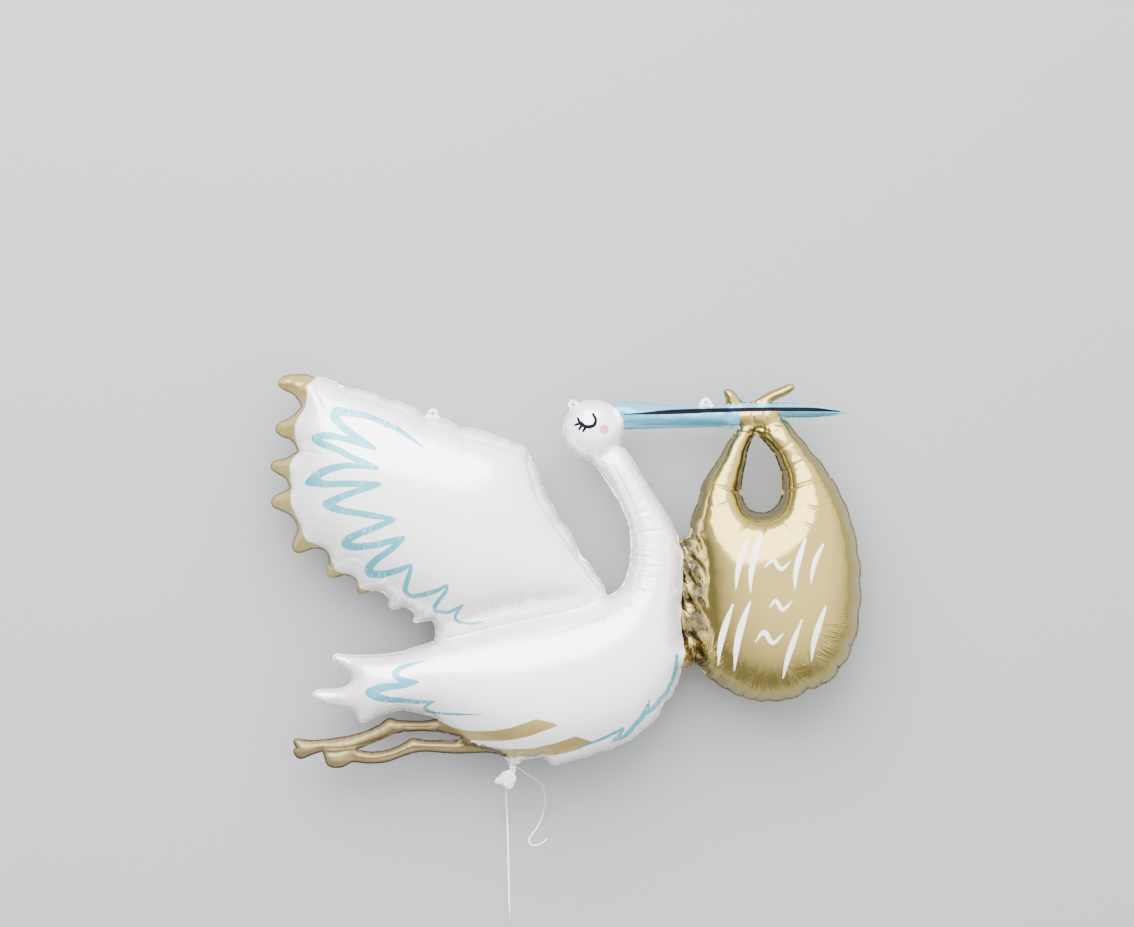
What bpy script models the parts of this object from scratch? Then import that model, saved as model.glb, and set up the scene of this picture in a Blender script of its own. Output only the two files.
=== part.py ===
# Stork foil balloon with a bundle in its beak, lying on its side on the floor, in metres.
# +X runs along its length from the wing's tips to the bundle, +Y from its legs to its beak, +Z is up.

import math

import bmesh
import bpy
import numpy as np
from mathutils import Vector
from mathutils.geometry import delaunay_2d_cdt

LENGTH = 1.57  # from the feather tips to the bundle's outer edge
MIDDLE_HEIGHT = 0.136  # of the welded seam over the floor
FULLNESS = 0.142  # how deep half of a very wide panel blows up
CREASE_PULL = 3.0  # how firmly the creases tie the two sheets together
CREASE_WIDTH = 0.0133
TAB_THICKNESS = 0.0016
TAB_RADIUS = 0.0146
TAB_HOLE_RADIUS = 0.0045
TAB_MARGIN = 0.0003  # round a tab's own points
THROAT_DEPTH = 0.010  # of the tied filling tail, top to bottom
SKIRT_DEPTH = 0.014  # of the slack foil below the tie

# The flat pattern is drawn on a grid with this many steps in the balloon's length, x right and y down.
GRID_STEPS = 591.4
GRID_CENTRE = (565.8, 582.05)
STEP = LENGTH / GRID_STEPS

EDGE_SPACING = 7.0  # grid steps between points along a broad edge
FINE_SPACING = 4.8  # and along a narrow limb
OPEN_SPACING = 11.5  # and in the middle of a broad panel

PUCKER = 0.075  # how far the edge swells out between two puckers, as a share of their distance

FEATHER_LOBES = [
    [(434.5, 641), (435, 631), (435.5, 624), (430, 620.3), (422, 622), (415, 623.5), (412.8, 619)],
    [(412.8, 619), (414.3, 613), (410, 608.6), (401, 608), (391, 608.8), (388.5, 605)],
    [(388.5, 605), (387.5, 597), (381, 591.5), (372, 590.5), (364, 594), (358.5, 594), (356.4, 588)],
    [(356.4, 588), (355.5, 579.5), (348, 575.2), (338, 576.8), (329, 579), (326.2, 573)],
    [
        (326.2, 573), (329, 560), (325, 550.5), (315, 548.6), (304, 552), (295.5, 553.4), (291.7, 546),
        (294.5, 537),
    ],
    [
        (294.5, 537), (297.5, 528), (292, 517), (281, 510.6), (272, 507), (271.5, 498), (279, 493.4),
        (289.6, 488),
    ],
    [(289.6, 488), (286, 479), (275, 472.6), (269.8, 468), (273, 460.8), (285, 458.4), (297.6, 451)],
    [(297.6, 451), (292, 440.7), (281, 436.5), (274.6, 430), (279, 422.2), (291, 417), (301, 406.5)],
    [
        (301, 406.5), (295, 396), (281, 388.5), (276.5, 382.5), (283, 376), (299, 374.2), (325, 378),
        (343, 387),
    ],
]
WING_TOP_LEFT = [(343, 387), (366, 392.5), (384, 399.5), (406, 404.5), (424, 415.5)]
WING_TAB_CENTRE = (433, 413.4)
WING_TOP_RIGHT = [(440.5, 418), (461, 428), (482, 431.5), (499, 436), (514, 444.7), (524, 446), (532, 459)]
WING_BACK = [
    (532, 459), (541, 484), (550, 501), (557, 518), (573, 538), (580, 556), (595, 573), (607, 595.5),
]
NECK_BACK = [
    (607, 595.5), (620, 588), (629, 566), (630.5, 546), (628, 526), (618, 502), (603, 476.5), (591.5, 461),
]
HEAD_CENTRE = (593.5, 430.5)
HEAD_RADIUS = 31.0
HEAD_TAB_CENTRE = (573, 404.6)
HEAD_TAB_ANGLES = (223.0, 242.0)  # where its rim meets the head's, clockwise from the right
HEAD_ENDS = [(591.5, 461.0), (611.5, 405.0)]  # where the neck's back and the beak's top meet the head
BEAK_TAB_CENTRE = (706, 402.6)
BEAK_TOP_LEFT = [(611.5, 405), (617, 401.8), (640, 402), (668, 405), (698.5, 405.5)]
BEAK_TOP_MIDDLE = [(713.5, 404.8), (726, 404)]
KNOT_EARS = [
    [
        (726, 404), (725.5, 397), (722.5, 391.5), (727.5, 388.4), (734.5, 392), (742, 401.5), (748, 402.8),
        (755, 401),
    ],
    [
        (755, 401), (766, 393.5), (779, 388), (792, 383.6), (796, 386.5), (787, 395), (776, 399.5),
        (771, 403.2),
    ],
]
BEAK_TIP = [
    (771, 403.2), (790, 403), (820, 406), (837, 409.6), (846, 412.8), (836, 415.4), (808, 417.4),
    (782, 417.6),
]
BUNDLE_RIM = [
    (782, 417.6), (797, 435), (812, 453.5), (827, 472), (840, 494), (850, 519), (857, 550), (860, 584),
    (858.5, 615),
    (854, 642), (843, 664), (827, 683), (808, 689.5), (791, 698.8), (771, 701), (751, 699.5), (733, 692.5),
    (716, 682.5), (703, 672), (693, 661.5),
]
CHEST = [(693, 661.5), (681, 669), (675, 688), (663, 705), (650, 724), (630, 739), (606, 749.5), (582, 757)]
BELLY = [(582, 757), (553, 765.5), (544, 758), (528, 758.4), (519, 763.5), (514.9, 764.8)]
THROAT_RIGHT = [(514.9, 764.8), (514.9, 769.4)]
SKIRT_RIGHT = [(514.9, 769.4), (516.5, 776), (514.8, 785), (511.4, 790)]
SKIRT_HEM = [(511.4, 790), (506, 787.6), (500.6, 785.6), (493.6, 782)]
SKIRT_LEFT = [(493.6, 782), (498, 775.4), (503, 771.6), (510.1, 769.4)]
THROAT_LEFT = [(510.1, 769.4), (510.1, 764.8)]
LOWER_LEG_UNDER = [
    (510.1, 764.8), (505, 756.5), (490, 753), (455, 753.8), (420, 751.8), (404, 756), (388, 762),
    (370, 763.8),
    (352, 762),
]
LOWER_FOOT = [
    (352, 762), (344, 767), (334, 768.2), (326.8, 765.6), (324.4, 757), (321.8, 751.8),
]
UPPER_FOOT = [
    (321.8, 751.8), (311, 755.3), (303.5, 758.8), (297.4, 759.2), (295, 755), (291.4, 751.2), (296, 747),
    (292, 741.5), (293.5, 738.2), (301, 738.4), (310, 740.2),
]
UPPER_LEG_UPPER = [
    (310, 740.2), (330, 738.3), (352, 734.8), (370, 729.2), (380, 724), (388.6, 717.4), (398, 719.6),
    (410, 721),
    (424, 720.4), (437, 719),
]
TAIL_UNDER = [(437, 719), (425, 714.6), (406, 711), (390, 711.8), (377, 717)]
TAIL_LOBES = [
    [(377, 717), (367, 722), (360, 722.8), (356.6, 716), (352, 709.6), (340, 707.4)],
    [(340, 707.4), (322, 703), (312, 698), (312.4, 691), (322, 689), (340, 688.4)],
    [(340, 688.4), (351.5, 682), (350, 672.6), (340, 665), (331.6, 658.4), (335, 653)],
    [(335, 653), (352, 654.6), (375, 654.4), (398, 652), (420, 645.4), (434.5, 641)],
]
NECK_WINDOW = [
    [(624, 429.4), (623.4, 438), (620, 444.5)],
    [(620, 444.5), (629, 453), (640, 472), (655, 496), (670, 518.5), (680, 539)],
    [(680, 539), (684.6, 540.6), (689.5, 535)],
    [(689.5, 535), (691, 517), (698, 502), (701, 486), (711, 470), (724, 449), (731, 437), (739, 428)],
    [(739, 428), (720, 427.2), (690, 427.6), (655, 428.4), (624, 429.4)],
]
LEG_WINDOW = [
    [
        (357.5, 749.3), (370, 744.2), (386, 737.4), (396, 733.2), (412, 731.2), (434, 731.6), (450, 734),
        (460.5, 737.2),
    ],
    [
        (460.5, 737.2), (457, 739.8), (440, 740), (425, 740), (418, 738.4), (411.8, 737.3), (405, 742),
        (393, 748), (382, 750.7), (370, 751.6), (357.5, 749.3),
    ],
]
HANDLE_WINDOW = [
    (755.5, 434), (766, 443.5), (777, 460), (782, 480), (780, 500), (770, 510.5), (757, 512.4), (746, 506),
    (741.6, 490), (745, 467), (751, 441),
]

CREASES = [
    [(443, 640), (470, 632), (500, 625), (532, 618), (562, 612), (588, 605), (600, 600)],
    [(446, 724), (457, 732), (467, 741.5), (482, 746), (498, 749.5)],
    [(325.5, 752.6), (334, 752.9), (345, 751.4), (354, 750)],
    [(596, 459), (604, 455.5), (612, 450.5)],
    [(612.5, 411), (617, 417.5), (619, 424.5)],
    [(733, 409.5), (731, 416), (734, 423.5)],
    [(743, 408), (757, 407), (768, 408)],
    [(780.5, 408), (781, 413)],
    [(744, 425), (752, 427), (762, 426.5), (773, 423)],
    [(682, 546), (683.5, 565), (682, 590), (680.4, 615), (684, 636), (689, 650)],
    [(691.5, 546), (693, 565), (692, 590), (691.5, 615), (694, 636), (698, 650)],
]

THROAT_MIDDLE = (512.5, 767.1)
THROAT_SPINE = [(512.5, 764.8), (512.5, 769.4)]
CREASE_REACH = 7.0  # grid steps
THROAT_MARGIN = 0.1  # grid steps, round the throat's own points

RIBBON_WIDTH = 0.005
KNOT_THICKNESS = 0.003  # of the ribbon's turns round the throat
KNOT_STEPS = 20
KNOT_SIDES = 8
COIL_RADIUS = 0.0285  # at the middle of its turns
COIL_DEPTH = 0.014  # from its inner turn to its outer one
COIL_HEIGHT = 0.0054
COIL_STEPS = 28
COIL_PLACE = (0.0242, -0.4914)  # of its middle, from the throat's
CLEARANCE = 0.0003  # between touching pieces

# The ribbon's free ends, from the knot down to the floor and over it: metres along and across from the
# throat's middle, and up from the floor.
LONG_END_ROUTE = [
    (0.0000, -0.0018, 0.1278), (-0.0015, -0.0144, 0.1240), (-0.0063, -0.0314, 0.1150),
    (-0.0128, -0.0474, 0.1025),
    (-0.0168, -0.0634, 0.0860), (-0.0183, -0.0814, 0.0665), (-0.0178, -0.1004, 0.0460),
    (-0.0168, -0.1214, 0.0268),
    (-0.0158, -0.1454, 0.0122), (-0.0148, -0.1734, 0.0045), (-0.0141, -0.2074, 0.0028),
    (-0.0131, -0.2524, 0.0028),
    (-0.0121, -0.2974, 0.0028), (-0.0111, -0.3424, 0.0028), (-0.0101, -0.3874, 0.0028),
    (-0.0093, -0.4274, 0.0028),
    (-0.0088, -0.4729, 0.0028),
]
SHORT_END_ROUTE = [
    (0.0100, 0.0000, 0.1360), (0.0197, -0.0049, 0.1355), (0.0354, -0.0183, 0.1300),
    (0.0545, -0.0298, 0.1175),
    (0.0717, -0.0423, 0.0995), (0.0812, -0.0609, 0.0770), (0.0857, -0.0875, 0.0510),
    (0.0840, -0.1174, 0.0255),
    (0.0772, -0.1454, 0.0100), (0.0647, -0.1714, 0.0038), (0.0497, -0.1914, 0.0028),
    (0.0427, -0.2059, 0.0028),
    (0.0497, -0.2184, 0.0028), (0.0697, -0.2174, 0.0028), (0.0917, -0.2024, 0.0028),
]

FOIL_WHITE = (0.86, 0.86, 0.85, 1.0)
RIBBON_WHITE = (0.9, 0.9, 0.89, 1.0)


def on_plan(point):
    """A place of the flat pattern, in metres from the balloon's middle."""
    return ((point[0] - GRID_CENTRE[0]) * STEP, (GRID_CENTRE[1] - point[1]) * STEP)


def smooth(points, samples=12):
    """Fine samples of a centripetal Catmull-Rom curve from the first point to the last."""
    places = [np.array(point, float) for point in points]
    places.insert(0, 2 * places[0] - places[1])
    places.append(2 * places[-1] - places[-2])
    path = []
    for p0, p1, p2, p3 in zip(places, places[1:], places[2:], places[3:]):
        t1 = math.sqrt(np.linalg.norm(p1 - p0))
        t2 = t1 + math.sqrt(np.linalg.norm(p2 - p1))
        t3 = t2 + math.sqrt(np.linalg.norm(p3 - p2))
        for i in range(samples):
            t = t1 + (t2 - t1) * i / samples
            a1 = p0 + (p1 - p0) * t / t1
            a2 = p1 + (p2 - p1) * (t - t1) / (t2 - t1)
            a3 = p2 + (p3 - p2) * (t - t2) / (t3 - t2)
            b1 = a1 + (a2 - a1) * t / t2
            b2 = a2 + (a3 - a2) * (t - t1) / (t3 - t1)
            path.append(b1 + (b2 - b1) * (t - t1) / (t2 - t1))
    path.append(places[-2])
    return np.array(path)


def puckered(points, samples=8):
    """An edge that swells out, to the left of its way across the pattern, between each two puckers."""
    path = []
    for start, end in zip(points, points[1:]):
        start = np.array(start, float)
        way = np.array(end, float) - start
        out = np.array([way[1], -way[0]])
        for i in range(samples):
            t = i / samples
            path.append(start + way * t + out * PUCKER * math.sin(math.pi * t))
    path.append(np.array(points[-1], float))
    return np.array(path)


def arc(centre, radius, start, end, samples=24):
    """A circular edge, with angles in degrees, clockwise on the pattern from its right."""
    angles = np.radians(np.linspace(start, end, samples))
    return np.column_stack([centre[0] + radius * np.cos(angles), centre[1] + radius * np.sin(angles)])


def resampled(path, spacing):
    """Even points along an edge, both ends among them."""
    runs = np.concatenate([[0.0], np.cumsum(np.linalg.norm(np.diff(path, axis=0), axis=1))])
    count = max(1, round(runs[-1] / spacing))
    stops = np.linspace(0.0, runs[-1], count + 1)
    return np.column_stack([np.interp(stops, runs, path[:, axis]) for axis in (0, 1)])


def tab_edge(centre, start, end):
    """The rim of a hanging tab between two places of the edge that it grows from."""
    first = math.degrees(math.atan2(start[1] - centre[1], start[0] - centre[0]))
    last = math.degrees(math.atan2(end[1] - centre[1], end[0] - centre[0]))
    rim = arc(centre, TAB_RADIUS / STEP, first, last + 360.0 if last < first else last)
    return np.vstack([[start], rim[1:-1], [end]])


def closed_ring(edges):
    """Joins edges that follow each other, each with its spacing, into one ring of points."""
    return np.vstack([resampled(np.array(path), spacing)[:-1] for path, spacing in edges])


def outline_ring():
    """The balloon's outer edge, clockwise on the pattern from the notch between the tail and the wing."""
    first, last = (math.degrees(math.atan2(y - HEAD_CENTRE[1], x - HEAD_CENTRE[0])) for x, y in HEAD_ENDS)
    before_tab = arc(HEAD_CENTRE, HEAD_RADIUS, first, HEAD_TAB_ANGLES[0])
    after_tab = arc(HEAD_CENTRE, HEAD_RADIUS, HEAD_TAB_ANGLES[1], last + 360.0)
    edges = [(smooth(lobe), FINE_SPACING) for lobe in FEATHER_LOBES]
    edges.append((puckered(WING_TOP_LEFT), EDGE_SPACING))
    edges.append((tab_edge(WING_TAB_CENTRE, WING_TOP_LEFT[-1], WING_TOP_RIGHT[0]), FINE_SPACING))
    edges.append((puckered(WING_TOP_RIGHT + WING_BACK[1:]), EDGE_SPACING))
    edges.append((smooth(NECK_BACK), EDGE_SPACING))
    edges.append((before_tab, FINE_SPACING))
    edges.append((tab_edge(HEAD_TAB_CENTRE, before_tab[-1], after_tab[0]), FINE_SPACING))
    edges.append((after_tab, FINE_SPACING))
    edges.append((smooth(BEAK_TOP_LEFT), EDGE_SPACING))
    edges.append((tab_edge(BEAK_TAB_CENTRE, BEAK_TOP_LEFT[-1], BEAK_TOP_MIDDLE[0]), FINE_SPACING))
    edges.append((smooth(BEAK_TOP_MIDDLE), EDGE_SPACING))
    edges += [(smooth(ear), FINE_SPACING) for ear in KNOT_EARS]
    edges.append((smooth(BEAK_TIP), FINE_SPACING + 1.0))
    edges.append((puckered(BUNDLE_RIM), EDGE_SPACING))
    edges.append((puckered(CHEST), EDGE_SPACING))
    edges.append((smooth(BELLY), EDGE_SPACING))
    edges.append((np.array(THROAT_RIGHT), FINE_SPACING))
    edges.append((smooth(SKIRT_RIGHT), EDGE_SPACING))
    edges.append((smooth(SKIRT_HEM), EDGE_SPACING))
    edges.append((smooth(SKIRT_LEFT), EDGE_SPACING))
    edges.append((np.array(THROAT_LEFT), FINE_SPACING))
    edges.append((smooth(LOWER_LEG_UNDER), EDGE_SPACING))
    edges.append((smooth(LOWER_FOOT), FINE_SPACING))
    edges.append((smooth(UPPER_FOOT), FINE_SPACING))
    edges.append((smooth(UPPER_LEG_UPPER), EDGE_SPACING))
    edges.append((smooth(TAIL_UNDER), EDGE_SPACING))
    edges += [(smooth(lobe), FINE_SPACING + 1.0) for lobe in TAIL_LOBES]
    return closed_ring(edges)


def window_rings():
    """The windows inside the outline: the neck's, the handle's, the legs' and the holes of the tabs."""
    spacings = (EDGE_SPACING, EDGE_SPACING, FINE_SPACING, EDGE_SPACING, EDGE_SPACING)
    rings = [closed_ring([(smooth(edge), spacing) for edge, spacing in zip(NECK_WINDOW, spacings)])]
    handle = HANDLE_WINDOW
    rings.append(resampled(smooth(handle + handle[:1]), EDGE_SPACING)[:-1])
    rings.append(closed_ring([(smooth(edge), EDGE_SPACING) for edge in LEG_WINDOW]))
    for centre in (WING_TAB_CENTRE, HEAD_TAB_CENTRE, BEAK_TAB_CENTRE):
        rings.append(arc(centre, TAB_HOLE_RADIUS / STEP, 0.0, 360.0, 9)[:-1])
    return rings


def inside(points, ring):
    """Which of the points lie within a ring."""
    x, y = points[:, 0][:, None], points[:, 1][:, None]
    ax, ay = ring[:, 0][None], ring[:, 1][None]
    bx, by = np.roll(ring[:, 0], -1)[None], np.roll(ring[:, 1], -1)[None]
    crosses = (ay > y) != (by > y)
    run = np.where(by == ay, 1.0, by - ay)
    return (crosses & (x < ax + (bx - ax) * (y - ay) / run)).sum(1) % 2 == 1


def distance_to(points, path):
    """How far each point is from a path of straight runs."""
    nearest = np.full(len(points), np.inf)
    for start, end in zip(path, path[1:]):
        way = end - start
        share = np.clip((points - start) @ way / max(way @ way, 1e-12), 0.0, 1.0)
        nearest = np.minimum(nearest, np.linalg.norm(points - start - share[:, None] * way, axis=1))
    return nearest


def on_panel(points, rings):
    """Which of the points lie on the foil: within the outline and in none of the windows."""
    kept = inside(points, rings[0])
    for ring in rings[1:]:
        kept &= ~inside(points, ring)
    return kept


def spread_points(rings, fixed):
    """Points over the foil, close together near the seam and further apart in broad panels."""
    fine = 3.5
    low, high = rings[0].min(0), rings[0].max(0)
    rows = np.arange(low[1], high[1], fine * math.sqrt(0.75))
    columns = np.arange(low[0], high[0], fine)
    grid = np.array([(x + fine * (i % 2) / 2, y) for i, y in enumerate(rows) for x in columns])
    grid = grid[on_panel(grid, rings)]
    depth = np.min([distance_to(grid, np.vstack([ring, ring[:1]])) for ring in rings], axis=0)
    room = np.clip(FINE_SPACING + 0.22 * depth, FINE_SPACING, OPEN_SPACING)
    buckets = {}
    for point in fixed:
        buckets.setdefault((int(point[0] // OPEN_SPACING), int(point[1] // OPEN_SPACING)), []).append(point)
    chosen = []
    for i in np.lexsort((grid[:, 0], grid[:, 1], np.round(depth))):
        if depth[i] < 0.5 * room[i]:
            continue
        point = grid[i]
        column, row = int(point[0] // OPEN_SPACING), int(point[1] // OPEN_SPACING)
        around = [(column + a, row + b) for a in (-1, 0, 1) for b in (-1, 0, 1)]
        near = [other for key in around for other in buckets.get(key, [])]
        if all(math.hypot(*(point - other)) >= room[i] for other in near):
            chosen.append(point)
            buckets.setdefault((column, row), []).append(point)
    return np.array(chosen)


def triangulated(rings, loose):
    """Triangles of the flat foil between the rings. The rings' points come first."""
    points = np.vstack(rings + [loose])
    edges = []
    first = 0
    for ring in rings:
        edges += [(first + i, first + (i + 1) % len(ring)) for i in range(len(ring))]
        first += len(ring)
    result = delaunay_2d_cdt([Vector(point) for point in points], edges, [], 0, 1e-6)
    places = np.array([tuple(place) for place in result[0]])
    if len(places) != len(points) or np.abs(places - points).max() > 1e-3:
        raise ValueError("two edges of the pattern cross or touch")
    faces = np.array([face for face in result[2]])
    return points, faces[on_panel(points[faces].mean(1), rings)], np.array(edges)


def relaxed(rings, loose, fixed_count, rounds=4):
    """Evens out the loose points; the first fixed_count of them, on the creases, stay put."""
    for _ in range(rounds):
        points, faces, _ = triangulated(rings, loose)
        total = np.zeros_like(points)
        count = np.zeros(len(points))
        for a, b in ((0, 1), (1, 2), (2, 0)):
            np.add.at(total, faces[:, a], points[faces[:, b]])
            np.add.at(total, faces[:, b], points[faces[:, a]])
            np.add.at(count, faces[:, a], 1)
            np.add.at(count, faces[:, b], 1)
        mean = total / np.maximum(count, 1)[:, None]
        free = slice(len(points) - len(loose) + fixed_count, None)
        loose = loose.copy()
        loose[fixed_count:] = 0.5 * (points[free] + mean[free])
    return loose


def with_middles(rings, loose):
    """Adds a point halfway along each inner edge that runs from seam to seam, where the sheets part too."""
    rim_count = sum(len(ring) for ring in rings)
    while True:
        points, faces, rim = triangulated(rings, loose)
        seam = {tuple(sorted(edge)) for edge in rim.tolist()}
        edges = {tuple(sorted((face[i], face[i - 1]))) for face in faces.tolist() for i in range(3)}
        shut = sorted(edge for edge in edges - seam if max(edge) < rim_count)
        if not shut:
            return loose
        loose = np.vstack([loose, [(points[i] + points[j]) / 2 for i, j in shut]])


def blown_up(points, faces, rim_count, crease):
    """How high the gas lifts each point of a sheet: round where it is narrow, flatter where it is broad."""
    flat = points * STEP
    count = len(flat)
    stiffness = np.zeros((count, count))
    load = np.zeros(count)
    corners = flat[faces]
    for a, b, c in ((0, 1, 2), (1, 2, 0), (2, 0, 1)):
        one = corners[:, a] - corners[:, c]
        two = corners[:, b] - corners[:, c]
        area = np.abs(one[:, 0] * two[:, 1] - one[:, 1] * two[:, 0])
        slope = 0.5 * (one * two).sum(1) / area
        i, j = faces[:, a], faces[:, b]
        np.add.at(stiffness, (i, j), -slope)
        np.add.at(stiffness, (j, i), -slope)
        np.add.at(stiffness, (i, i), slope)
        np.add.at(stiffness, (j, j), slope)
        np.add.at(load, i, area / 6)
    hold = 1.0 / FULLNESS**2 + crease * CREASE_PULL / CREASE_WIDTH**2
    stiffness[np.arange(count), np.arange(count)] += hold * load
    free = slice(rim_count, count)
    lift = np.zeros(count)
    lift[free] = np.linalg.solve(stiffness[free, free], 2.0 * load[free])
    return np.sqrt(np.maximum(lift, 0.0))


def envelope():
    """The foil envelope as one closed body: two sheets welded along the outline and round every window."""
    rings = [outline_ring()] + window_rings()
    creases = [smooth(crease) for crease in CREASES]
    ridge = np.vstack([resampled(crease, EDGE_SPACING) for crease in creases] + [THROAT_SPINE])
    loose = np.vstack([ridge, spread_points(rings, np.vstack(rings + [ridge]))])
    points, faces, rim = triangulated(rings, with_middles(rings, relaxed(rings, loose, len(ridge))))
    rim_count = sum(len(ring) for ring in rings)
    nearness = np.min([distance_to(points, crease) for crease in creases], axis=0)
    lift = blown_up(points, faces, rim_count, np.clip(1.0 - nearness / CREASE_REACH, 0.0, 1.0))
    tabs = np.zeros(len(points), bool)
    for centre in (WING_TAB_CENTRE, HEAD_TAB_CENTRE, BEAK_TAB_CENTRE):
        tabs |= np.linalg.norm(points - centre, axis=1) < (TAB_RADIUS + TAB_MARGIN) / STEP
    lift[tabs] = TAB_THICKNESS / 2
    below_tie = points[:, 1] > THROAT_SPINE[0][1] - THROAT_MARGIN
    in_skirt = below_tie & (points[:, 0] > SKIRT_HEM[-1][0] - 1) & (points[:, 0] < SKIRT_RIGHT[1][0] + 1)
    lift[in_skirt] = np.minimum(lift[in_skirt], SKIRT_DEPTH / 2)
    across, along = np.abs(points - THROAT_MIDDLE).T
    at_throat = along < THROAT_RIGHT[1][1] - THROAT_MIDDLE[1] + THROAT_MARGIN
    at_throat &= across < THROAT_RIGHT[0][0] - THROAT_MIDDLE[0] - THROAT_MARGIN
    lift[at_throat] = THROAT_DEPTH / 2
    split = lift > 1e-5

    mesh = bmesh.new()
    top, bottom = [], []
    for point, height, apart in zip(points, lift, split):
        x, y = on_plan(point)
        top.append(mesh.verts.new((x, y, MIDDLE_HEIGHT + height)))
        bottom.append(mesh.verts.new((x, y, max(MIDDLE_HEIGHT - height, 0.0))) if apart else top[-1])
    for a, b, c in faces:
        mesh.faces.new((top[c], top[b], top[a]))
        mesh.faces.new((bottom[a], bottom[b], bottom[c]))
    for a, b in rim:
        wall = list(dict.fromkeys((top[a], top[b], bottom[b], bottom[a])))
        if len(wall) > 2:
            mesh.faces.new(wall)
    bmesh.ops.triangulate(mesh, faces=[face for face in mesh.faces if len(face.verts) > 3])
    bmesh.ops.recalc_face_normals(mesh, faces=mesh.faces)
    return mesh


def knot():
    """The ribbon's turns round the throat, as one oval ring that clears the foil all round."""
    centre = Vector((*on_plan(THROAT_MIDDLE), MIDDLE_HEIGHT))
    reach = KNOT_THICKNESS / 2 + CLEARANCE
    half_width = (THROAT_RIGHT[0][0] - THROAT_MIDDLE[0]) * STEP + reach
    half_depth = THROAT_DEPTH / 2 + reach
    mesh = bmesh.new()
    rounds = []
    for i in range(KNOT_STEPS):
        turn = math.tau * i / KNOT_STEPS
        middle = Vector((half_width * math.cos(turn), 0.0, half_depth * math.sin(turn)))
        out = Vector((math.cos(turn) * half_depth, 0.0, math.sin(turn) * half_width)).normalized()
        loop = []
        for j in range(KNOT_SIDES):
            angle = math.tau * j / KNOT_SIDES
            offset = out * math.cos(angle) + Vector((0.0, 1.0, 0.0)) * math.sin(angle)
            loop.append(mesh.verts.new(centre + middle + offset * KNOT_THICKNESS / 2))
        rounds.append(loop)
    for one, two in zip(rounds, rounds[1:] + rounds[:1]):
        for j in range(KNOT_SIDES):
            k = (j + 1) % KNOT_SIDES
            mesh.faces.new((one[j], one[k], two[k], two[j]))
    bmesh.ops.recalc_face_normals(mesh, faces=mesh.faces)
    return mesh


def coil():
    """The wound length of the ribbon as a turned ring, lying flat on the floor."""
    throat = on_plan(THROAT_MIDDLE)
    centre = (throat[0] + COIL_PLACE[0], throat[1] + COIL_PLACE[1], 0.0)
    inner = COIL_RADIUS - COIL_DEPTH / 2
    outer = COIL_RADIUS + COIL_DEPTH / 2
    mesh = bmesh.new()
    profile = [(inner, 0.0), (outer, 0.0), (outer, COIL_HEIGHT), (inner, COIL_HEIGHT)]
    loop = [mesh.verts.new((centre[0] + r, centre[1], z)) for r, z in profile]
    edges = [mesh.edges.new((loop[i], loop[(i + 1) % 4])) for i in range(4)]
    bmesh.ops.spin(
        mesh, geom=loop + edges, cent=centre, axis=(0, 0, 1), angle=math.tau, steps=COIL_STEPS,
        use_merge=True,
    )
    bmesh.ops.recalc_face_normals(mesh, faces=mesh.faces)
    return mesh


def material(name, colour, roughness, metallic):
    """A plain Principled material."""
    made = bpy.data.materials.new(name)
    made.use_nodes = True
    shader = made.node_tree.nodes["Principled BSDF"]
    shader.inputs["Base Color"].default_value = colour
    shader.inputs["Roughness"].default_value = roughness
    shader.inputs["Metallic"].default_value = metallic
    return made


def add_mesh(name, mesh, finish, sharp_degrees):
    """Turns a bmesh into an object of its own, shaded smooth."""
    data = bpy.data.meshes.new(name)
    mesh.to_mesh(data)
    mesh.free()
    data.materials.append(finish)
    data.shade_smooth()
    data.set_sharp_from_angle(angle=math.radians(sharp_degrees))
    piece = bpy.data.objects.new(name, data)
    bpy.context.scene.collection.objects.link(piece)
    return piece


def add_ribbon(name, route, finish):
    """A free stretch of ribbon as a round tube of its width, along a smooth curve through the route."""
    path = smooth(route) + (*on_plan(THROAT_MIDDLE), 0.0)
    runs = np.concatenate([[0.0], np.cumsum(np.linalg.norm(np.diff(path, axis=0), axis=1))])
    stops = np.linspace(0.0, runs[-1], round(runs[-1] / (2.5 * RIBBON_WIDTH)) + 1)
    places = np.column_stack([np.interp(stops, runs, path[:, axis]) for axis in (0, 1, 2)])
    curve = bpy.data.curves.new(name, "CURVE")
    curve.dimensions = "3D"
    curve.bevel_depth = RIBBON_WIDTH / 2
    curve.bevel_resolution = 2
    curve.use_fill_caps = True
    spline = curve.splines.new("POLY")
    spline.points.add(len(places) - 1)
    for point, place in zip(spline.points, places):
        point.co = (*place, 1.0)
    curve.materials.append(finish)
    piece = bpy.data.objects.new(name, curve)
    bpy.context.scene.collection.objects.link(piece)
    return piece


for old in list(bpy.data.objects):
    bpy.data.objects.remove(old, do_unlink=True)
foil = material("printed foil", FOIL_WHITE, 0.3, 0.3)
satin = material("ribbon", RIBBON_WHITE, 0.45, 0.0)
add_mesh("foil_envelope", envelope(), foil, 60.0)
add_mesh("ribbon_knot", knot(), satin, 60.0)
add_mesh("ribbon_coil", coil(), satin, 40.0)
add_ribbon("ribbon_long_end", LONG_END_ROUTE, satin)
add_ribbon("ribbon_short_end", SHORT_END_ROUTE, satin)
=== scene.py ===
import math
import random

import bmesh
import bpy
import numpy as np
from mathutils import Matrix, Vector
from mathutils.kdtree import KDTree


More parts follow.
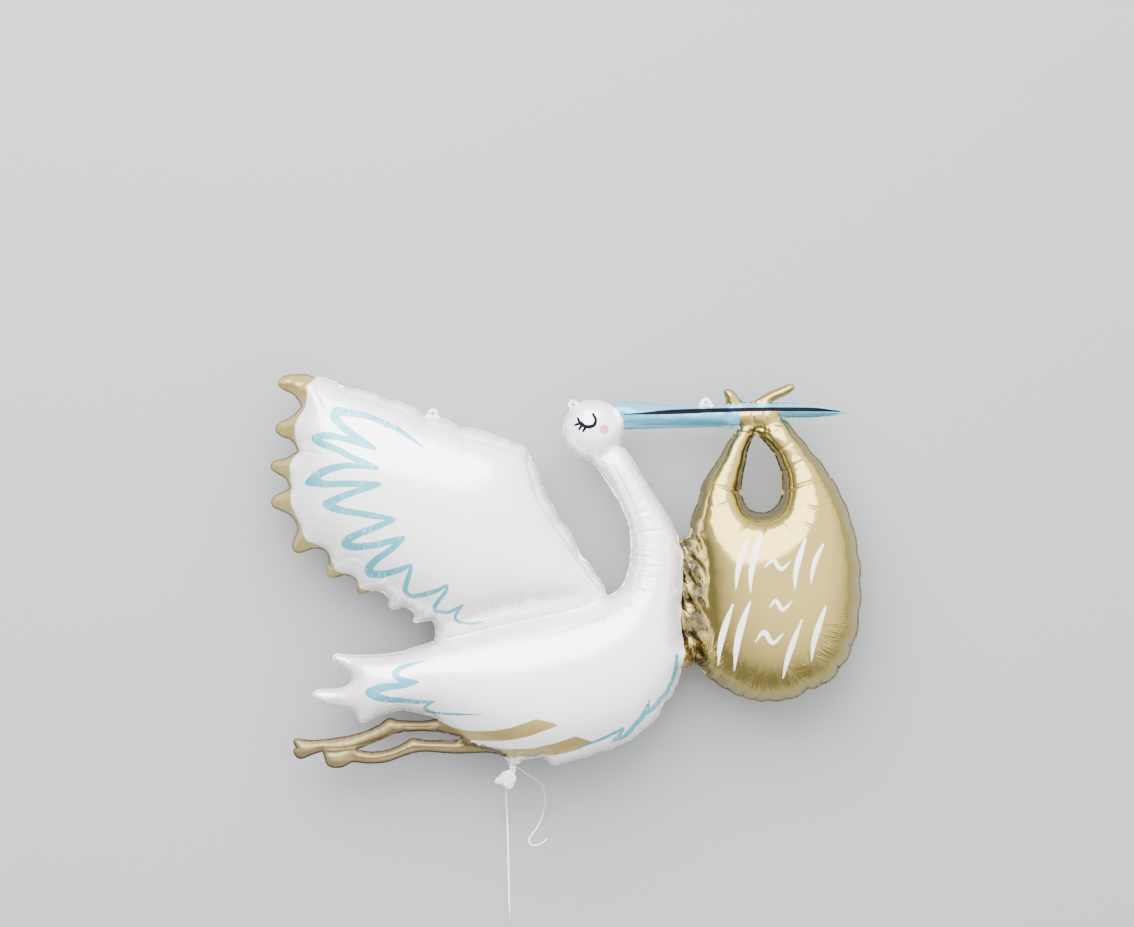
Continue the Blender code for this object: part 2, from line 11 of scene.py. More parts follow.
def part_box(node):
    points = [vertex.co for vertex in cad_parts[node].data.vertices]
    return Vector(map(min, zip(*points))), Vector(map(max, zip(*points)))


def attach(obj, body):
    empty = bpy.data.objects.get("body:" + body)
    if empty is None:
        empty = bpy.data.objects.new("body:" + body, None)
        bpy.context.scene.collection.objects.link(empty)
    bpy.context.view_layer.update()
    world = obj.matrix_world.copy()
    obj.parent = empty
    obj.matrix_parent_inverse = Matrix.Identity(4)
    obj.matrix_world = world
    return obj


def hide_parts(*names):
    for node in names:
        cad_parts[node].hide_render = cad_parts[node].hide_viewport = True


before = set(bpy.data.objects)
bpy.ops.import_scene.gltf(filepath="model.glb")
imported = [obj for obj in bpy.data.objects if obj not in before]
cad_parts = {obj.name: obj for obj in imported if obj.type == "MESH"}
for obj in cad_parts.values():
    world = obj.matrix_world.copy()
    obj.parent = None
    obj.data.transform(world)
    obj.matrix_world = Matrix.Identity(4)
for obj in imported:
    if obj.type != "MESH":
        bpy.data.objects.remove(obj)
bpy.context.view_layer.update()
print("stork foil balloon: frame loaded")

# The photograph's grid: pixels, x right and y down, on the plane of the balloon's seam.
photo = {"width": 1134, "height": 927, "balloonLength": 591.4, "balloonMiddle": (565.8, 582.05)}
envelopeLow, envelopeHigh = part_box("foil_envelope")
knotLow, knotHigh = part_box("ribbon_knot")
pixel = (envelopeHigh[0] - envelopeLow[0]) / photo["balloonLength"]
seamHeight = (knotLow[2] + knotHigh[2]) / 2


def onPlan(points):
    # Places of the photograph as metres on the balloon's plan.
    places = np.array(points, float)
    return (places - photo["balloonMiddle"]) * (pixel, -pixel)


# Camera, straight above the middle of the photograph's view

cameraSettings = {"distance": 11.0, "sensor": 36.0}
viewMiddle = onPlan([(photo["width"] / 2, photo["height"] / 2)])[0]
cameraData = bpy.data.cameras.new("Camera")
cameraData.sensor_width = cameraSettings["sensor"]
cameraData.lens = cameraSettings["sensor"] * cameraSettings["distance"] / (photo["width"] * pixel)
cameraData.clip_end = 60.0
camera = bpy.data.objects.new("Camera", cameraData)
bpy.context.collection.objects.link(camera)
camera.location = (*viewMiddle, seamHeight + cameraSettings["distance"])
bpy.context.scene.camera = camera


# Shader helpers

class Maths:
    # A socket with arithmetic, so that shader formulas read as formulas.

    def __init__(self, tree, socket):
        self.tree = tree
        self.socket = socket

    def node(self, operation, *values):
        made = self.tree.nodes.new("ShaderNodeMath")
        made.operation = operation
        for slot, value in zip(made.inputs, values):
            if isinstance(value, Maths):
                self.tree.links.new(value.socket, slot)
            else:
                slot.default_value = value
        return Maths(self.tree, made.outputs[0])

    def __add__(self, other):
        return self.node("ADD", self, other)

    def __radd__(self, other):
        return self.node("ADD", other, self)

    def __sub__(self, other):
        return self.node("SUBTRACT", self, other)

    def __rsub__(self, other):
        return self.node("SUBTRACT", other, self)

    def __mul__(self, other):
        return self.node("MULTIPLY", self, other)

    def __rmul__(self, other):
        return self.node("MULTIPLY", other, self)

    def __truediv__(self, other):
        return self.node("DIVIDE", self, other)

    def __abs__(self):
        return self.node("ABSOLUTE", self)

    def clamped(self):
        made = self.node("ADD", self, 0.0)
        made.socket.node.use_clamp = True
        return made


class NodeTree:
    # A node tree being filled, with one method for any node.

    def __init__(self, tree):
        self.tree = tree

    def set(self, node, slot, value):
        if isinstance(value, Maths):
            self.tree.links.new(value.socket, node.inputs[slot])
        else:
            node.inputs[slot].default_value = value

    def add(self, kind, output, settings=None, numbered=None, **named):
        made = self.tree.nodes.new("ShaderNode" + kind)
        for key, value in (settings or {}).items():
            setattr(made, key, value)
        for slot, value in (numbered or {}).items():
            self.set(made, slot, value)
        for slot, value in named.items():
            self.set(made, slot.replace("_", " "), value)
        return Maths(self.tree, made.outputs[output])


class Finish(NodeTree):
    # A material being made.

    def __init__(self, name):
        self.material = bpy.data.materials.new(name)
        self.material.use_nodes = True
        super().__init__(self.material.node_tree)

    def shade(self, **sockets):
        for slot, value in sockets.items():
            self.set(self.tree.nodes["Principled BSDF"], slot.replace("_", " "), value)

    def attribute(self, name):
        return self.add("Attribute", "Fac", {"attribute_name": name})

    def place(self, scale=(1.0, 1.0, 1.0)):
        spot = self.add("TexCoord", "Object")
        return self.add("Mapping", "Vector", Vector=spot, Scale=scale)

    def noise(self, vector, scale, detail=3.0, roughness=0.5):
        return self.add("TexNoise", "Fac", Vector=vector, Scale=scale, Detail=detail, Roughness=roughness)

    def mixed(self, factor, one, two):
        return self.add("Mix", 2, {"data_type": "RGBA"}, {0: factor, 6: one, 7: two})


def newPiece(name, mesh, finish):
    piece = bpy.data.objects.new(name, mesh)
    bpy.context.collection.objects.link(piece)
    piece.data.materials.clear()
    piece.data.materials.append(finish.material)
    return piece


def smoothPath(points, samples=16):
    # Fine samples of a centripetal Catmull-Rom curve through the points.
    places = [np.array(point, float) for point in points]
    places.insert(0, 2 * places[0] - places[1])
    places.append(2 * places[-1] - places[-2])
    path = []
    for p0, p1, p2, p3 in zip(places, places[1:], places[2:], places[3:]):
        t1 = math.sqrt(np.linalg.norm(p1 - p0))
        t2 = t1 + math.sqrt(np.linalg.norm(p2 - p1))
        t3 = t2 + math.sqrt(np.linalg.norm(p3 - p2))
        for i in range(samples):
            t = t1 + (t2 - t1) * i / samples
            a1 = p0 + (p1 - p0) * t / t1
            a2 = p1 + (p2 - p1) * (t - t1) / (t2 - t1)
            a3 = p2 + (p3 - p2) * (t - t2) / (t3 - t2)
            b1 = a1 + (a2 - a1) * t / t2
            b2 = a2 + (a3 - a2) * (t - t1) / (t3 - t1)
            path.append(b1 + (b2 - b1) * (t - t1) / (t2 - t1))
    path.append(places[-2])
    return np.array(path)


def evenPath(path, spacing):
    runs = np.concatenate([[0.0], np.cumsum(np.linalg.norm(np.diff(path, axis=0), axis=1))])
    stops = np.linspace(0.0, runs[-1], max(2, round(runs[-1] / spacing)) + 1)
    return np.column_stack([np.interp(stops, runs, path[:, axis]) for axis in range(path.shape[1])])


def smoothStep(values, start, end):
    t = np.clip((values - start) / (end - start), 0.0, 1.0)
    return t * t * (3.0 - 2.0 * t)


def pathLength(path):
    return float(np.linalg.norm(np.diff(path, axis=0), axis=1).sum())


# Curling ribbon

ribbon = {
    "width": 0.005,
    "thickness": 0.00035,
    "spacing": 0.003,
    "longEnd": [
        (0.0000, -0.0018, 0.1278), (-0.0015, -0.0144, 0.1240), (-0.0063, -0.0314, 0.1150),
        (-0.0128, -0.0474, 0.1025), (-0.0168, -0.0634, 0.0860), (-0.0183, -0.0814, 0.0665),
        (-0.0178, -0.1004, 0.0460), (-0.0168, -0.1214, 0.0268), (-0.0158, -0.1454, 0.0122),
        (-0.0148, -0.1734, 0.0045), (-0.0141, -0.2074, 0.0028), (-0.0131, -0.2524, 0.0028),
        (-0.0121, -0.2974, 0.0028), (-0.0111, -0.3424, 0.0028), (-0.0101, -0.3874, 0.0028),
        (-0.0093, -0.4274, 0.0028), (-0.0088, -0.4729, 0.0028),
    ],
    "shortEnd": [
        (0.0100, 0.0000, 0.1360), (0.0197, -0.0049, 0.1355), (0.0354, -0.0183, 0.1300),
        (0.0545, -0.0298, 0.1175), (0.0717, -0.0423, 0.0995), (0.0812, -0.0609, 0.0770),
        (0.0857, -0.0875, 0.0510), (0.0840, -0.1174, 0.0255), (0.0772, -0.1454, 0.0100),
        (0.0647, -0.1714, 0.0038), (0.0497, -0.1914, 0.0028), (0.0427, -0.2059, 0.0028),
        (0.0497, -0.2184, 0.0028), (0.0697, -0.2174, 0.0028), (0.0917, -0.2024, 0.0028),
    ],
    "restHeight": 0.0028,
    "halfTwist": 0.16,
    "onEdge": (0.36, 0.08),  # how far from the throat it starts to turn on its edge, and over what length
    "coilTurns": 5.0,
    "coilInner": 0.0235,
    "coilOuter": 0.0335,
    "coilStart": math.radians(147.6),
}


def ribbonFinish():
    finish = Finish("ribbonFilm")
    along = finish.noise(finish.place(), 420.0, 2.0)
    finish.shade(Base_Color=(0.93, 0.93, 0.92, 1.0), Roughness=0.32, Coat_Weight=0.3)
    bump = finish.add("Bump", "Normal", Strength=0.12, Distance=0.0004, Height=along)
    finish.shade(Normal=bump)
    return finish


ribbonFilm = ribbonFinish()


def flatStrip(name, path, across, width, thickness):
    # A flat band along a path, with across the direction of its width at every point.
    steps = np.gradient(path, axis=0)
    steps /= np.linalg.norm(steps, axis=1)[:, None]
    across = across - (across * steps).sum(1)[:, None] * steps
    across /= np.linalg.norm(across, axis=1)[:, None]
    face = np.cross(steps, across)
    mesh = bmesh.new()
    rings = []
    for place, side, out in zip(path, across, face):
        ring = []
        for wide, deep in ((-1, -1), (0, -1), (1, -1), (1, 1), (0, 1), (-1, 1)):
            ring.append(mesh.verts.new(place + side * width / 2 * wide + out * thickness / 2 * deep))
        rings.append(ring)
    for one, two in zip(rings, rings[1:]):
        for j in range(6):
            k = (j + 1) % 6
            mesh.faces.new((one[j], one[k], two[k], two[j]))
    mesh.faces.new(rings[0])
    mesh.faces.new(rings[-1][::-1])
    bmesh.ops.recalc_face_normals(mesh, faces=mesh.faces)
    data = bpy.data.meshes.new(name)
    mesh.to_mesh(data)
    mesh.free()
    return newPiece(name, data, ribbonFilm)


throat = np.array([(knotLow[0] + knotHigh[0]) / 2, (knotLow[1] + knotHigh[1]) / 2, 0.0])
coilLow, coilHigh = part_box("ribbon_coil")
coilMiddle = np.array([(coilLow[0] + coilHigh[0]) / 2, (coilLow[1] + coilHigh[1]) / 2])


def coilPath():
    # Turns side by side, from the outer one, where the long end comes in, to the inner one.
    count = round(ribbon["coilTurns"] * 60)
    path = []
    for i in range(count + 1):
        share = i / count
        radius = ribbon["coilOuter"] + (ribbon["coilInner"] - ribbon["coilOuter"]) * share
        angle = ribbon["coilStart"] + math.tau * ribbon["coilTurns"] * share
        spot = coilMiddle + (radius * math.cos(angle), radius * math.sin(angle))
        path.append((*spot, ribbon["restHeight"]))
    return np.array(path)


def makeRibbon():
    straight = smoothPath(ribbon["longEnd"])[:-1] + throat
    longPath = evenPath(smoothPath(np.vstack([straight[::8], coilPath()[4:]]), 4), ribbon["spacing"])
    runs = np.linspace(0.0, pathLength(longPath), len(longPath))
    along = np.clip(runs / ribbon["halfTwist"], 0.0, 1.0)
    edgeFrom, edgeOver = ribbon["onEdge"]
    upright = np.clip((throat[1] - edgeFrom - longPath[:, 1]) / edgeOver, 0.0, 1.0)
    across = np.column_stack([
        np.cos(along * math.pi) * (1.0 - upright),
        0.15 * np.sin(along * math.pi),
        upright + 0.25 * np.sin(along * 9.0),
    ])
    longEnd = flatStrip("ribbonLongEnd", longPath, across, ribbon["width"], ribbon["thickness"])
    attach(longEnd, "root")
    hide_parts("ribbon_long_end", "ribbon_coil")
    shortPath = evenPath(smoothPath(ribbon["shortEnd"]) + throat, ribbon["spacing"])
    turn = np.linspace(0.0, 1.0, len(shortPath))[:, None]
    steps = np.gradient(shortPath, axis=0)
    beside = np.column_stack([-steps[:, 1], steps[:, 0], np.zeros(len(steps))])
    beside /= np.linalg.norm(beside, axis=1)[:, None]
    flatOver = beside * (0.35 + 0.65 * smoothStep(turn, 0.5, 0.75))
    across = flatOver + (0.0, 0.0, 1.0) * smoothStep(turn, 0.85, 0.45)
    shortEnd = flatStrip("ribbonShortEnd", shortPath, across, ribbon["width"], ribbon["thickness"])
    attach(shortEnd, "root")
    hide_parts("ribbon_short_end")
    print("ribbon:", round(pathLength(longPath), 3), "m and", round(pathLength(shortPath), 3), "m")


makeRibbon()


# Knot, the ribbon's turns round the throat

knot = {
    "turns": 3,
    "radii": (0.0094, 0.0080),
    "firstTurn": 0.93,  # size of the first turn, against the last
    "width": 0.0024,
    "wander": 0.0004,
    "hitchAt": 138,  # sample along the turns where the small hitch sits
    "hitchTurns": 1.5,
    "hitchRadii": (0.0013, 0.0019),
    "hitchSpread": 0.0012,
}


def makeKnot():
    # Three tight turns round the throat and a small hitch where the ends leave it.
    centre = throat + (0.0, 0.0, seamHeight)
    angles = np.linspace(0.0, math.tau * knot["turns"], 145)
    growth = np.linspace(knot["firstTurn"], 1.0, len(angles))
    across = knot["radii"][0] * growth * np.cos(angles)
    up = knot["radii"][1] * growth * np.sin(angles)
    turns = centre + np.column_stack([across, knot["wander"] * np.sin(angles * 0.68 + 0.5), up])
    tilt = np.column_stack([0.2 * np.sin(angles * 0.7), np.ones(len(angles)), 0.2 * np.cos(angles * 0.9)])
    wound = flatStrip("ribbonKnot", turns, tilt, knot["width"], ribbon["thickness"])
    at = turns[knot["hitchAt"]]
    outward = (at - centre) / np.linalg.norm(at - centre)
    side = np.array([0.0, 1.0, 0.0])
    onward = np.cross(outward, side)
    angles = np.linspace(0.0, math.tau * knot["hitchTurns"], 48)
    ring = at + np.outer(np.cos(angles), outward) * knot["hitchRadii"][0]
    ring += np.outer(np.sin(angles), side) * knot["hitchRadii"][1]
    ring += np.outer(np.linspace(-knot["hitchSpread"], knot["hitchSpread"], len(angles)), onward)
    lean = onward + np.outer(np.sin(angles), side) * 0.2
    hitch = flatStrip("ribbonHitch", ring, lean, knot["width"], ribbon["thickness"])
    joined = bmesh.new()
    joined.from_mesh(wound.data)
    joined.from_mesh(hitch.data)
    joined.to_mesh(wound.data)
    joined.free()
    bpy.data.objects.remove(hitch)
    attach(wound, "root")
    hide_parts("ribbon_knot")
    print("knot: tied round the throat")


makeKnot()


# Printed artwork, in the photograph's pixels

def widened(points, widths):
    # Points along a brush stroke with their widths, interpolated from a few widths spread along it.
    spread = np.linspace(0.0, 1.0, len(widths))
    shares = np.linspace(0.0, 1.0, len(points))
    return [(x, y, float(np.interp(share, spread, widths))) for (x, y), share in zip(points, shares)]


wingStroke = [
    (425, 447.5, 1.5), (412, 438, 4), (400, 430, 5), (385, 423, 5.5), (368, 416.5, 6), (350, 413, 8),
    (338, 412, 9), (336, 416, 9), (345, 427, 7.5), (355, 434.5, 7), (366, 442, 6.5), (377, 449, 4),
    (365, 444.5, 6), (350, 440, 6), (338, 437, 6.5), (325, 436, 7.5), (317, 438.5, 7), (322, 443, 7),
    (335, 447.5, 7), (350, 455, 6.5), (365, 462, 6), (380, 468.2, 3.5), (365, 466.5, 5), (350, 465.5, 6),
    (338, 467.5, 7), (325, 472, 8), (316, 478, 8.5), (309, 483, 4), (318, 482.5, 8.5), (330, 484, 7),
    (345, 483.5, 6.5), (362, 483.5, 6.5), (382, 484, 4), (370, 487.5, 6), (355, 492.5, 6.5),
    (345, 496, 7), (335, 500.5, 8), (328, 503.5, 6.5), (335, 507, 8), (345, 510, 7), (360, 512.5, 6.5),
    (375, 515, 6.5), (397, 519, 3.5), (385, 523.5, 6), (372, 529, 7), (360, 533.5, 7), (350, 539, 8),
    (347, 543, 8), (353, 545.5, 8), (365, 545.5, 7), (380, 543.5, 6.5), (393, 540, 6), (406, 536.5, 3.5),
    (398, 544.5, 6), (388, 552, 6.5), (378, 559, 7), (371, 567, 8), (370, 571.5, 8), (380, 573.5, 8),
    (392, 571.5, 6.5), (403, 568, 6), (413, 564, 3), (411, 573, 5), (408, 582, 5.5), (406.5, 590, 5.5),
    (411, 594.5, 5), (418, 594.5, 5), (430, 592, 5), (440, 588.5, 4.5), (449, 583.5, 2), (447, 590, 3.5),
    (441, 598, 4), (436, 605, 4.5), (435.5, 609.5, 4), (441, 611, 4), (450, 610.5, 4), (457, 608, 3.5),
    (464, 603, 1.5), (460, 609, 3), (456.5, 614, 3), (456.5, 618, 3), (461, 621, 3), (468, 622.5, 3),
    (477, 622, 2.5), (485, 620.5, 1),
]
tailStroke = [
    (425, 659.5, 1), (410, 664, 3.5), (400, 668, 5.5), (396, 672.5, 6.5), (400, 677, 6.5),
    (408, 679.5, 5.5), (420, 680, 1.5), (405, 684, 5.5), (390, 685, 7.5), (378, 688, 9), (370, 691.5, 8),
    (376, 694.5, 9), (388, 698, 6.5), (400, 699, 5.5), (420, 700.5, 4), (437, 699.5, 1), (429, 703, 3),
    (425.5, 707, 3.5), (429, 710.5, 3.5), (440, 712, 3), (460, 712.3, 2.5), (483, 712, 0.8),
]
chestStroke = [
    (676, 654, 3), (675.5, 665, 4), (672.5, 677, 4), (668, 687, 4), (663, 695, 4.5), (657.5, 702, 4.8),
    (651, 708, 4.5), (645, 712, 3),
]
flankStroke = [
    (649.3, 697.5, 1), (648, 702.5, 3.5), (645.5, 708.5, 5.5), (641, 716, 5.5), (636, 722, 5.5),
    (630, 729, 5.2), (624, 734.5, 4.5), (616, 739, 3.5), (610, 741, 1),
]
bellyStroke = [
    (577, 746.5, 1), (590, 741.5, 2.6), (600, 737.5, 3.2), (610, 733, 3.4), (618, 729, 3.2),
    (623, 726, 2), (621, 730.5, 3), (616.5, 736, 3), (611, 740.5, 1),
]
mouthLine = [
    (624, 414.3, 1.2), (640, 413.8, 2.2), (650, 413.2, 3.2), (670, 412.2, 4.8), (690, 411.4, 5),
    (710, 410.6, 4.6), (750, 409.6, 4.2), (780, 409.2, 4.2), (815, 409.7, 3.8), (830, 410.6, 2.6),
    (840, 411.5, 1.2),
]
eyelid = [(593, 414.5), (595.6, 420), (594, 425), (589, 427), (584, 426), (580, 423.5), (578, 418.5)]
eyeLines = [
    widened(eyelid, (3.0, 4.0, 2.8)),
    widened([(581, 423), (575, 425.3)], (3.6, 2.4)),
    widened([(582.5, 424.5), (579, 429.5)], (3.6, 2.4)),
    widened([(586, 426.5), (583, 431.5)], (3.6, 2.4)),
]
# Brush marks on the bundle: slanted blades and waves in three rows.
brushMarks = [
    widened([(746, 538), (740, 554), (736, 570), (734, 588)], (2, 5.5, 5, 1)),
    widened([(760, 533), (753, 552), (749, 572), (748, 591)], (2, 6, 5, 1)),
    widened([(762, 566), (771, 559), (778, 568), (788, 560)], (1, 3.5, 3.5, 1)),
    widened([(803, 538), (797, 555), (793, 571), (792, 588)], (2, 5.5, 5, 1)),
    widened([(821, 543), (814, 556), (810, 569), (808, 582)], (1.5, 4.5, 4, 1)),
    widened([(767, 606), (773, 599), (780, 608), (790, 598)], (1, 3.5, 3.5, 1)),
    widened([(731, 603), (724, 623), (719, 643), (717, 664)], (2, 6, 5.5, 1)),
    widened([(748, 600), (740, 622), (735, 645), (733, 669)], (2, 6.5, 6, 1)),
    widened([(753, 640), (762, 630), (770, 641), (781, 631)], (1, 4.5, 4, 1)),
    widened([(799, 618), (791, 639), (785, 658), (781, 677)], (1.5, 5.5, 5, 1)),
    widened([(823, 605), (816, 624), (811, 642), (809, 660)], (2, 6, 5, 1)),
]
wingTips = [
    (317, 370), (315, 378), (309, 386), (307.6, 401), (305, 410), (299, 418.5), (296.4, 425), (296, 435),
    (298, 445), (299.7, 451), (294.5, 457.5), (291.4, 463.8), (291, 475), (292.6, 485), (292, 495),
    (292.4, 504), (297, 514.5), (302, 525), (305, 535), (308, 540.6), (316, 543), (323, 547), (331, 556),
    (334, 564.5), (336, 570), (345, 573.5), (352, 575.5), (357.5, 580), (360, 587), (364, 589.3),
    (370, 591), (380, 600), (250, 700), (250, 360),
]
bellyStripes = [
    [
        (437, 718.5), (452, 726), (465, 728.5), (478, 729.3), (495, 728.5), (510, 725.5), (525, 720.5),
        (536.5, 716), (560, 722), (545, 728), (530, 733.5), (515, 737), (500, 739), (485, 739.5),
        (470, 739), (460, 737), (445, 732),
    ],
    [
        (480, 742), (490, 746), (505, 747.5), (520, 747), (535, 745.5), (550, 742.5), (565, 737.5),
        (575.5, 733.5), (593, 740), (580, 747), (565, 751.5), (550, 754), (535, 755.5), (520, 756),
        (505, 757), (490, 755),
    ],
]
legArea = [
    (280, 735), (350, 727), (372, 723), (384, 717), (389, 714), (410, 716.5), (437, 718.5), (440, 722),
    (452, 727), (462, 733), (470, 739), (478, 744), (490, 746), (500, 749), (508, 754), (503, 759),
    (494, 764), (280, 775),
]
bundleArea = [
    (680, 520), (680, 539), (683, 556), (683.5, 570), (682, 600), (680, 620), (683.5, 636.5),
    (683.5, 646), (683, 655), (682, 661), (680.5, 668), (680.5, 720), (900, 720), (900, 431), (782, 420),
    (779, 411), (760, 410.5), (740, 411), (739.5, 427), (734, 433), (720, 440),
]
knotEars = [
    (715, 380), (715, 404), (721, 404.5), (740, 403.5), (750, 403), (772, 403.5), (800, 402), (800, 380),
]
cheek = {"middle": (604.0, 429.5), "radius": 4.8}
beakMiddle = 411.0  # down the photograph
beakArea = [
    (608, 395), (611, 404.6), (618, 411), (622.5, 419), (624.4, 429.6), (640, 434), (900, 434),
    (900, 395), (718, 395), (713, 406.6), (699, 406.2), (694, 395),
]


def distanceToPath(spots, path):
    # Distance of every spot from the path, and how far along the nearest segment's index it is.
    nearest = np.full(len(spots), 1e9)
    along = np.zeros(len(spots))
    for i, (one, two) in enumerate(zip(path[:-1], path[1:])):
        way = two - one
        t = np.clip(((spots - one) @ way) / max(way @ way, 1e-12), 0.0, 1.0)
        gap = np.hypot(*(spots - one - t[:, None] * way).T)
        closer = gap < nearest
        nearest[closer] = gap[closer]
        along[closer] = i + t[closer]
    return nearest, along


def strokeField(spots, strokes):
    # How far inside a brush stroke each spot is, in pixels; less than nothing outside.
    field = np.full(len(spots), -40.0)
    for stroke in strokes:
        fine = smoothPath(stroke, 4)
        box = (spots > fine[:, :2].min(0) - 12.0).all(1) & (spots < fine[:, :2].max(0) + 12.0).all(1)
        gap, along = distanceToPath(spots[box], fine[:, :2])
        half = np.interp(along, range(len(fine)), fine[:, 2] / 2)
        field[box] = np.maximum(field[box], half - gap)
    return field


def areaField(spots, corners):
    # How far inside a polygon each spot is, in pixels; less than nothing outside.
    ring = np.array(list(corners) + [corners[0]], float)
    gap, along = distanceToPath(spots, ring)
    within = np.zeros(len(spots), bool)
    for (x0, y0), (x1, y1) in zip(ring[:-1], ring[1:]):
        crosses = (y0 > spots[:, 1]) != (y1 > spots[:, 1])
        if y0 != y1:
            within ^= crosses & (spots[:, 0] < x0 + (x1 - x0) * (spots[:, 1] - y0) / (y1 - y0))
    return np.where(within, gap, -gap)


def onPhoto(places):
    return places[:, :2] / (pixel, -pixel) + photo["balloonMiddle"]


# Foil envelope

foil = {
    "weld": (0.0026, 0.0070),  # where the flat margin outside the gas ends, and where the film is full
    "film": 0.0006,  # half the thickness drawn for the flat weld and the tabs
    "kept": 0.66,  # share of the faces that is left once the underside is thinned
    "finestEdge": 0.0050,  # under the brush strokes
    "eyeEdge": 0.0014,
    "creaseEdge": 0.0042,
    "crumpleEdge": 0.0050,
    "swell": (0.13, 0.12),  # how far the film rises between two folds, per distance of the folds
    "corner": math.radians(48.0),  # a notch of the outline with a sharper turn stays a corner
    "needle": math.radians(125.0),  # and so does a point with a sharper turn
    "refinings": 4,
    "bandStep": 2.0,  # pixels between the samples of a band of ribs
    "tabRims": (5.8, 9.0),  # pixels from a tab's middle, from no folds to full folds
    "facetWaves": 5,
    "seed": 5,
}
# Stretches of the seam: a box in pixels, the distances of deep and of fine folds, how far in the deep ones
# reach, how strong they are, and how strong the fine ribs are.
gathers = [
    ((722, 436, 800, 520), 22, 7.0, 20, 0.30, 0.10),
    ((690, 615, 870, 712), 19, 5.5, 34, 1.1, 1.3),
    ((676, 535, 700, 665), 16, 6.0, 8, 0.12, 0.3),
    ((690, 432, 870, 615), 30, 9.0, 16, 0.3, 0.35),
    ((715, 378, 800, 404), 14, 7.0, 3, 0.15, 0.1),
    ((600, 395, 850, 434), 26, 10.0, 4, 0.1, 0.1),
    ((558, 398, 628, 464), 9, 5.0, 12, 1.1, 0.8),
    ((598, 452, 700, 640), 16, 6.0, 14, 0.35, 0.6),
    ((655, 640, 720, 700), 14, 6.0, 14, 0.7, 0.8),
    ((560, 690, 710, 775), 30, 10.0, 16, 0.8, 0.7),
    ((265, 370, 306, 560), 18, 8.0, 6, 0.15, 0.5),
    ((300, 540, 372, 596), 18, 8.0, 8, 0.35, 0.4),
    ((300, 372, 440, 430), 34, 12.0, 14, 0.6, 0.4),
    ((268, 372, 440, 600), 19, 8.0, 22, 0.8, 0.4),
    ((430, 400, 560, 480), 36, 12.0, 16, 0.6, 0.7),
    ((520, 470, 612, 612), 36, 12.0, 16, 0.5, 0.6),
    ((305, 640, 375, 748), 18, 8.0, 6, 0.15, 0.2),
    ((375, 640, 440, 735), 22, 9.0, 14, 0.45, 0.3),
    ((280, 712, 500, 775), 18, 8.0, 3, 0.06, 0.15),
    ((0, 0, 2000, 2000), 16, 6.0, 34, 1.3, 0.8),
]
tabs = [(433, 413.4), (573, 404.6), (706, 402.6)]
